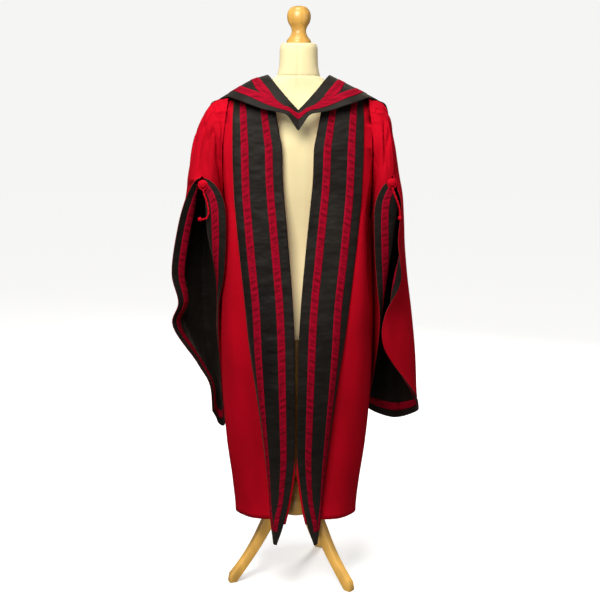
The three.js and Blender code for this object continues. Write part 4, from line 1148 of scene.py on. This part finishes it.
def hood_lines(detail):
    """The hood's lines at each station from the middle of the back to the front point."""
    last = len(HOOD) - 1
    stations = np.linspace(last, 0, last * 2 * detail + 1)
    lines = {}
    for k, name in enumerate(HOOD_COLUMNS):
        rows = [row[k] for row in HOOD if row[k] is not None]
        first = last + 1 - len(rows)
        curve = curve_through(rows)
        lines[name] = curve(np.clip((stations - first) / (len(rows) - 1), 0, 1))
    return stations, lines


def hood_band(stations, lines, swell, seed, detail):
    """The right half of the rolled band, with the share of its width of each column and its normals."""
    shares = np.linspace(0, 1, HOOD_BAND_STEPS * detail + 1)
    inside, outside = lines["inside"][:, None], lines["outside"][:, None].copy()
    rise, centre, width = HOOD_BEAK
    fade = smooth(stations * HOOD_BEAK_FADE)
    outside[:, 0, 2] += rise * np.exp(-(((stations - centre) / width) ** 2)) * fade
    band = lerp(inside, outside, shares[None, :, None])
    out = normals_of(band)
    for row in (0, -1):
        out[row, :, 0] = 0
        out[row] = unit(out[row])
    open_share = smooth(stations / HOOD_OPEN)[:, None]
    to_back = len(HOOD) - 1 - stations
    held = (smooth(stations * HOOD_WAVE_FADE) * smooth(to_back * HOOD_WAVE_FADE))[:, None]
    wave = HOOD_WAVE * ripples(band, HOOD_WAVE_SIZE, seed) * held * lerp(HOOD_WAVE_INSIDE, 1, shares)
    return lifted(band, swell * np.sin(np.pi * shares) * open_share + wave, out), shares, out


def hood_ribbon(stations, band, shares, out, edges, steps=6):
    """A strip of the band between two edges of its stripes, raised off the cloth."""
    table = all_levels(HOOD_STRIPE_COLUMNS, HOOD_STRIPES)
    start, end = table[edges[0]](stations), table[edges[1]](stations)
    raised = lifted(band, ON_RIBBON, out)
    rows = []
    for row, low, high in zip(raised, start, end):
        at = np.linspace(low, high, steps + 1)
        rows.append(np.stack([np.interp(at, shares, row[:, k]) for k in range(3)], axis=1))
    return np.array(rows)


def tucked(band, out, depth):
    """The line of a cloth edge that is sewn under the first edge of a band."""
    across = unit(band[:, 1] - band[:, 0])
    return band[:, 0] + (across - out[:, 0]) * depth


# Cords


def twisted(name, line, tangent, radius, turns, groove, sides):
    """A cord of twisted strands along a line, with its ends closed or joined."""
    aside = np.array([0.0, 1.0, 0.0])
    first = unit(np.cross(tangent, aside))
    second = np.cross(first, unit(tangent))
    angle = np.linspace(2 * np.pi, 0, sides + 1)
    along = np.linspace(0, 1, len(line))[:, None]
    lobes = 1 - groove * (0.5 - 0.5 * np.cos(CORD_STRANDS * angle + 2 * np.pi * turns * along))
    ring = np.cos(angle)[None, :, None] * first[:, None] + np.sin(angle)[None, :, None] * second[:, None]
    return ring_solid(name, line[:, None] + radius * lobes[..., None] * ring)


def ball(name, centre, radius, squash, groove):
    """A cloth-covered ball, pressed flat from front to back."""
    solid = bmesh.new()
    bmesh.ops.create_uvsphere(solid, u_segments=BALL_SIDES, v_segments=BALL_ROWS, radius=radius * MM)
    for corner in solid.verts:
        turn = math.atan2(corner.co.x, corner.co.z) * KNOT_STRANDS + corner.co.y / MM * KNOT_SLANT
        corner.co *= 1 - groove * (0.5 + 0.5 * math.sin(turn))
    bmesh.ops.scale(solid, vec=(1, squash, 1), verts=solid.verts[:])
    bmesh.ops.translate(solid, vec=Vector(to_row(centre)), verts=solid.verts[:])
    return link(name, solid)


# Operators


class GOWN_OT_stage(bpy.types.Operator):
    """Sets up the floor, the soft light and the camera."""

    bl_idname = "gown.stage"
    bl_label = "Stage"

    def execute(self, context):
        scene = context.scene
        data = bpy.data.cameras.new("camera")
        camera = bpy.data.objects.new("camera", data)
        scene.collection.objects.link(camera)
        data.lens = CAMERA_LENS
        data.shift_x = CAMERA_SHIFT
        turn = Matrix.Rotation(math.radians(90 - CAMERA_PITCH), 4, "X")
        lean = Matrix.Rotation(math.radians(CAMERA_ROLL), 4, "Z")
        camera.matrix_world = Matrix.Translation(Vector(to_row(EYE))) @ turn @ lean
        scene.camera = camera
        scene.view_settings.view_transform = "Standard"
        floor = bmesh.new()
        bmesh.ops.create_grid(floor, x_segments=2, y_segments=2, size=FLOOR_HALF)
        plane = link("floor", floor)
        material, tree, surface = new_material("pale_floor", FLOOR_SURFACE)
        tree.feed(surface, {"Base Color": (*scene.gown_colours.floor, 1)})
        plane.data.materials.append(material)
        plane.visible_diffuse = False
        plane.visible_glossy = False
        self.surroundings(scene)
        self.lamps(scene)
        return {"FINISHED"}

    def surroundings(self, scene):
        """A plain pale studio that lights the part softly from all sides."""
        world = bpy.data.worlds.new("studio")
        world.use_nodes = True
        tree = Tree(world.node_tree)
        soft = tree.feed(tree.nodes["Background"], STUDIO_LIGHT)
        seen = tree.add("Background", STUDIO_SEEN)
        by_camera = tree.add("LightPath", {}).outputs["Is Camera Ray"]
        mix = tree.add("MixShader", {"Fac": by_camera, 1: soft.outputs[0], 2: seen.outputs[0]})
        tree.feed(tree.nodes["World Output"], {"Surface": mix.outputs["Shader"]})
        scene.world = world

    def lamps(self, scene):
        """The overhead light, the soft lamps and the two narrow beams."""
        for name, (kind, place, target, settings) in LAMPS.items():
            lamp = bpy.data.lights.new(name, kind)
            for label, value in settings.items():
                setattr(lamp, label, value)
            holder = bpy.data.objects.new(name, lamp)
            scene.collection.objects.link(holder)
            holder.location = place
            holder.visible_glossy = name not in LAMPS_WITHOUT_GLOSS
            aim = Vector(target) - Vector(place)
            holder.rotation_euler = aim.to_track_quat("-Z", "Y").to_euler()


class GOWN_OT_fastenings(bpy.types.Operator):
    """Makes the covered buttons, their loops and the cords that hang from them."""

    bl_idname = "gown.fastenings"
    bl_label = "Buttons and cords"

    def execute(self, context):
        for side, button in BUTTONS.items():
            curve, length = by_length(curve_through(CORDS[side]))
            path = curve(np.linspace(0, 1, int(length / CORD_STEP)))
            cord = twisted(
                f"cord_{side}_twist", path, np.gradient(path, axis=0), CORD_DIAMETER * CORD_LOBE,
                length / CORD_TURN, CORD_GROOVE, CORD_SIDES)
            dress(cord, f"cord_{side}", "scarlet_cloth")
            knot = ball(f"knot_{side}_wrap", KNOTS[side], KNOT_RADIUS * KNOT_FULL, 1, KNOT_GROOVE)
            dress(knot, f"knot_{side}", "scarlet_cloth")
            face = ball(f"button_{side}_cover", button, BUTTON_RADIUS, BUTTON_THICK / BUTTON_RADIUS, 0)
            dress(face, f"button_{side}", "scarlet_cloth")
            around = np.linspace(0, 2 * np.pi, LOOP_STEPS + 1)
            level = np.zeros_like(around)
            outward = np.stack([np.cos(around), level, np.sin(around)], axis=1)
            tangent = np.stack([-np.sin(around), level, np.cos(around)], axis=1)
            ring = np.array(button) - (0, 0, LOOP_DROP) + LOOP_RADIUS * outward
            loop = twisted(
                f"loop_{side}_twist", ring, tangent, LOOP_TUBE, LOOP_TURNS, LOOP_GROOVE, LOOP_SIDES)
            dress(loop, f"loop_{side}", "scarlet_cloth")
        return {"FINISHED"}


class GOWN_OT_form(bpy.types.Operator):
    """Makes the padded dress form."""

    bl_idname = "gown.form"
    bl_label = "Dress form"

    def execute(self, context):
        dress(ring_solid("form_torso_cover", form_points()), "form_torso", "cream_jersey")
        return {"FINISHED"}


class GOWN_OT_stand(bpy.types.Operator):
    """Makes the turned knob, the hub, the pole and the legs."""

    bl_idname = "gown.stand"
    bl_label = "Stand"

    def execute(self, context):
        bottom, top = HUB_PROFILE[-1][1] + GAP, FORM[0][0] - GAP
        side = [(POLE_RADIUS, z) for z in (bottom, (top + bottom) / 2, top)]
        profiles = {
            "form_knob": [(radius, z + GAP) for radius, z in KNOB_PROFILE],
            "stand_hub": HUB_PROFILE,
            "stand_pole": [(0, bottom), *side, (0, top)],
        }
        for name, profile in profiles.items():
            dress(turned(name + "_wood", profile), name, "upright_wood")
        # The legs take the lighter copy of the wood, which is painted light
        for name, angle in LEG_ANGLES.items():
            dress(leg(name + "_wood", angle), name, "leg_wood")
        return {"FINISHED"}


class GOWN_OT_fronts(bpy.types.Operator):
    """Makes the red fronts, the black facings and their ribbons."""

    bl_idname = "gown.fronts"
    bl_label = "Fronts and facings"

    def execute(self, context):
        sizes = context.scene.gown_sizes
        red, red_out, facing, facing_out, columns = front_sheets(sizes.detail)
        facing[:, -1] = lerp(facing[:, -2], facing[:, -1], FACING_LAST_STEP)
        below_hem = POINT_ROWS.index(RIBBONS_MEET) + 1
        meet_row = (len(FRONT_ROWS) - 1) * (sizes.detail + 1) + below_hem * sizes.detail
        ripple = sizes.ripple / MM
        for side, seed in SEEDS.items():
            body = for_side(red, side)
            body = lifted(body, hanging(body, ripple, seed), for_side(red_out, side))
            front = cloth(f"front_{side}", body, "scarlet_cloth")
        for side, seed in SEEDS.items():
            band = for_side(facing, side)
            band = lifted(band, FACING_LIFT + hanging(band, ripple, seed), for_side(facing_out, side))
            order = columns if side == "right" else columns[::-1]
            up = lifted(band, ON_RIBBON)
            for place, edges in (("inner", FIRST_RIBBON), ("outer", SECOND_RIBBON)):
                strip = up[FACING_RIBBON_ROW:meet_row + 1, between(order, *edges)]
                cloth(f"facing_ribbon_{place}_{side}", strip, "ribbon_velvet")
            piece = cloth(f"facing_{side}", band, "charcoal_cloth")
        return {"FINISHED"}


class GOWN_OT_back(bpy.types.Operator):
    """Makes the yoke and the gathered back."""

    bl_idname = "gown.back"
    bl_label = "Yoke and back"

    def execute(self, context):
        detail = context.scene.gown_sizes.detail
        across = np.linspace(1, -1, 2 * GATHER_COUNT * detail + 1)
        yoke = np.array([[self.yoke_point(at, v) for at in across] for v in finer(YOKE_ROWS, detail)])
        back = self.back_sheet(across, finer(BACK_ROWS, detail + 2))
        cloth("yoke", yoke, "scarlet_cloth")
        cloth("back", back, "scarlet_cloth")
        return {"FINISHED"}

    def yoke_point(self, at, v):
        """A point of the yoke, from the shoulder and neck down to its seam."""
        x = abs(at) * SHOULDER
        if x >= NECK_HALF:
            top = np.array([x, 0, shoulder_ridge(x) + RIDGE_SEAT])
        else:
            rounded = (1 - (x / NECK_HALF) ** FORM_SQUARENESS) ** (1 / FORM_SQUARENESS)
            top = np.array([x, NECK_BACK * rounded, shoulder_ridge(NECK_HALF) + RIDGE_SEAT])
        z = lerp(top[2], YOKE_SEAM, v)
        rolled = roll(top[2] - z, BACK_ROLL)
        base = back_plan(z, abs(at))
        return np.array([np.sign(at) * lerp(top[0], base[0], rolled), lerp(top[1], base[1], rolled), z])

    def back_sheet(self, across, rows):
        """The back from the yoke and armholes to the hem, with its gathers and folds."""
        share = np.abs(across)
        past = np.clip((share - YOKE_END) / (1 - YOKE_END), 0, 1)
        tops = lerp(YOKE_SEAM, UNDERARM, past)
        flat = []
        for v in rows:
            z = lerp(tops, HEM, v)
            spread = smooth((z - SPREAD_BY) / (tops - SPREAD_BY))
            place = lerp(share, np.minimum(share / YOKE_END, 1), spread)
            base = np.array([back_plan(h, p) for h, p in zip(z, place)])
            flat.append(np.stack([np.sign(across) * base[:, 0], base[:, 1], z], axis=1))
        flat = np.array(flat)
        still = smooth((1 - share) * BACK_STILL)
        below = YOKE_SEAM - flat[:, :, 2]
        gathers = GATHER_DEPTH * np.cos(np.pi * GATHER_COUNT * (1 - across))
        gathers = gathers * (1 - smooth(below / GATHER_FADE))
        gathers *= lerp(GATHER_AT_SEAM, 1, smooth(rows / GATHER_SEAM_ROWS))[:, None]
        folds = np.array([fold_depth(BACK_FOLDS, across, v) for v in rows])
        return lifted(flat, (gathers + folds) * still)


class GOWN_OT_sleeves(bpy.types.Operator):
    """Makes the open sleeves, their linings and the ribbon along their edges."""

    bl_idname = "gown.sleeves"
    bl_label = "Sleeves"

    def execute(self, context):
        ripple = context.scene.gown_sizes.ripple / MM * SLEEVE_WAVES
        for side, sections in (("left", LEFT_SLEEVE), ("right", RIGHT_SLEEVE)):
            drawn, rows, hem, columns = sleeve_sheet(sections, ripple, SEEDS[side])
            sheet = for_side(drawn, side)
            sleeve = cloth(f"sleeve_{side}", sheet, "scarlet_cloth")
            lined = between(rows, LINING_FROM, rows[-1])
            rows = rows[lined]
            lining = lifted(sheet, -ON_CLOTH)[lined]
            ribbon = lifted(lining, -ON_RIBBON)
            last = columns[-1]
            slit, other = ("front", "back") if side == "left" else ("back", "front")
            cuts = {
                slit: ((1, 2), (RIBBON_FROM, hem[1])),
                other: ((last - 2, last - 1), (RIBBON_FROM, hem[1])),
                "hem": ((2, last - 2), (hem[0], hem[1])),
            }
            for place, (span, fall) in cuts.items():
                strip = ribbon[between(rows, *fall)][:, between(columns, *span)]
                cloth(f"sleeve_ribbon_{place}_{side}", strip, "ribbon_velvet")
            piece = cloth(f"sleeve_lining_{side}", lining, "charcoal_cloth")
        return {"FINISHED"}


class GOWN_OT_hood(bpy.types.Operator):
    """Makes the hood's rolled bands, ribbons, back and lining."""

    bl_idname = "gown.hood"
    bl_label = "Hood"

    def execute(self, context):
        detail = context.scene.gown_sizes.detail
        stations, lines = hood_lines(detail)
        behind = stations >= HOOD_BACK_FROM
        share = np.linspace(0, 1, HOOD_BACK_STEPS * detail + 1)[None, :, None]
        for side, swell in HOOD_SWELL.items():
            band, shares, out = hood_band(stations, lines, swell, SEEDS[side], detail)
            for place, last in HOOD_RIBBON_ENDS.items():
                strip = hood_ribbon(stations, band, shares, out, (place + "_start", place + "_end"))
                shown = for_side(strip[stations >= last], side)
                cloth(f"hood_ribbon_{place}_{side}", shown, "ribbon_velvet")
            sheet = for_side(band, side)
            piece = cloth(f"hood_band_{side}", sheet, "charcoal_cloth")
            top = tucked(band[:, ::-1], out[:, ::-1], HOOD_TUCK)[behind][:, None]
            sheet = for_side(lerp(top, lines["hem"][behind][:, None], share), side)
            piece = cloth(f"hood_back_{side}", sheet, "charcoal_cloth")
        inner = tucked(band, out, HOOD_LINING_TUCK)
        inner = inner[(stations >= HOOD_LINING_FROM) & (stations < len(HOOD) - 1)][::-1]
        at = np.linspace(1, -1, HOOD_LINING_STEPS * detail + 1)
        sag = HOOD_LINING_DIP * (1 - at * at) ** 2 / inner[0, 0]
        level = np.ones_like(at)
        lining = np.array([np.stack([x * at, y + sag * x, z * level], axis=1) for x, y, z in inner])
        piece = cloth("hood_lining", lining, "charcoal_cloth")
        return {"FINISHED"}


class GOWN_PT_panel(bpy.types.Panel):
    """Lists the gown's sizes, colours and operators."""

    bl_idname = "GOWN_PT_panel"
    bl_label = "Gown"
    bl_space_type = "VIEW_3D"
    bl_region_type = "UI"
    bl_category = "Gown"

    def draw(self, context):
        for group in (context.scene.gown_sizes, context.scene.gown_colours):
            for name in group.__annotations__:
                self.layout.prop(group, name)
        for operator in OPERATORS:
            self.layout.operator(operator.bl_idname)


OPERATORS = (
    GOWN_OT_stage, GOWN_OT_fastenings, GOWN_OT_form, GOWN_OT_stand,
    GOWN_OT_fronts, GOWN_OT_back, GOWN_OT_sleeves, GOWN_OT_hood,
)
CLASSES = (GownSizes, GownColours, *OPERATORS, GOWN_PT_panel)


def register():
    """Adds the classes and their settings."""
    for cls in CLASSES:
        bpy.utils.register_class(cls)
    bpy.types.Scene.gown_sizes = PointerProperty(type=GownSizes)
    bpy.types.Scene.gown_colours = PointerProperty(type=GownColours)


def unregister():
    """Removes the classes and their settings."""
    del bpy.types.Scene.gown_sizes
    del bpy.types.Scene.gown_colours
    for cls in reversed(CLASSES):
        bpy.utils.unregister_class(cls)


def main():
    """Builds every piece in order."""
    register()
    bpy.ops.gown.stage()
    bpy.ops.gown.fastenings()
    bpy.ops.gown.form()
    bpy.ops.gown.stand()
    bpy.ops.gown.fronts()
    bpy.ops.gown.back()
    bpy.ops.gown.sleeves()
    bpy.ops.gown.hood()


if __name__ == "__main__":
    main()
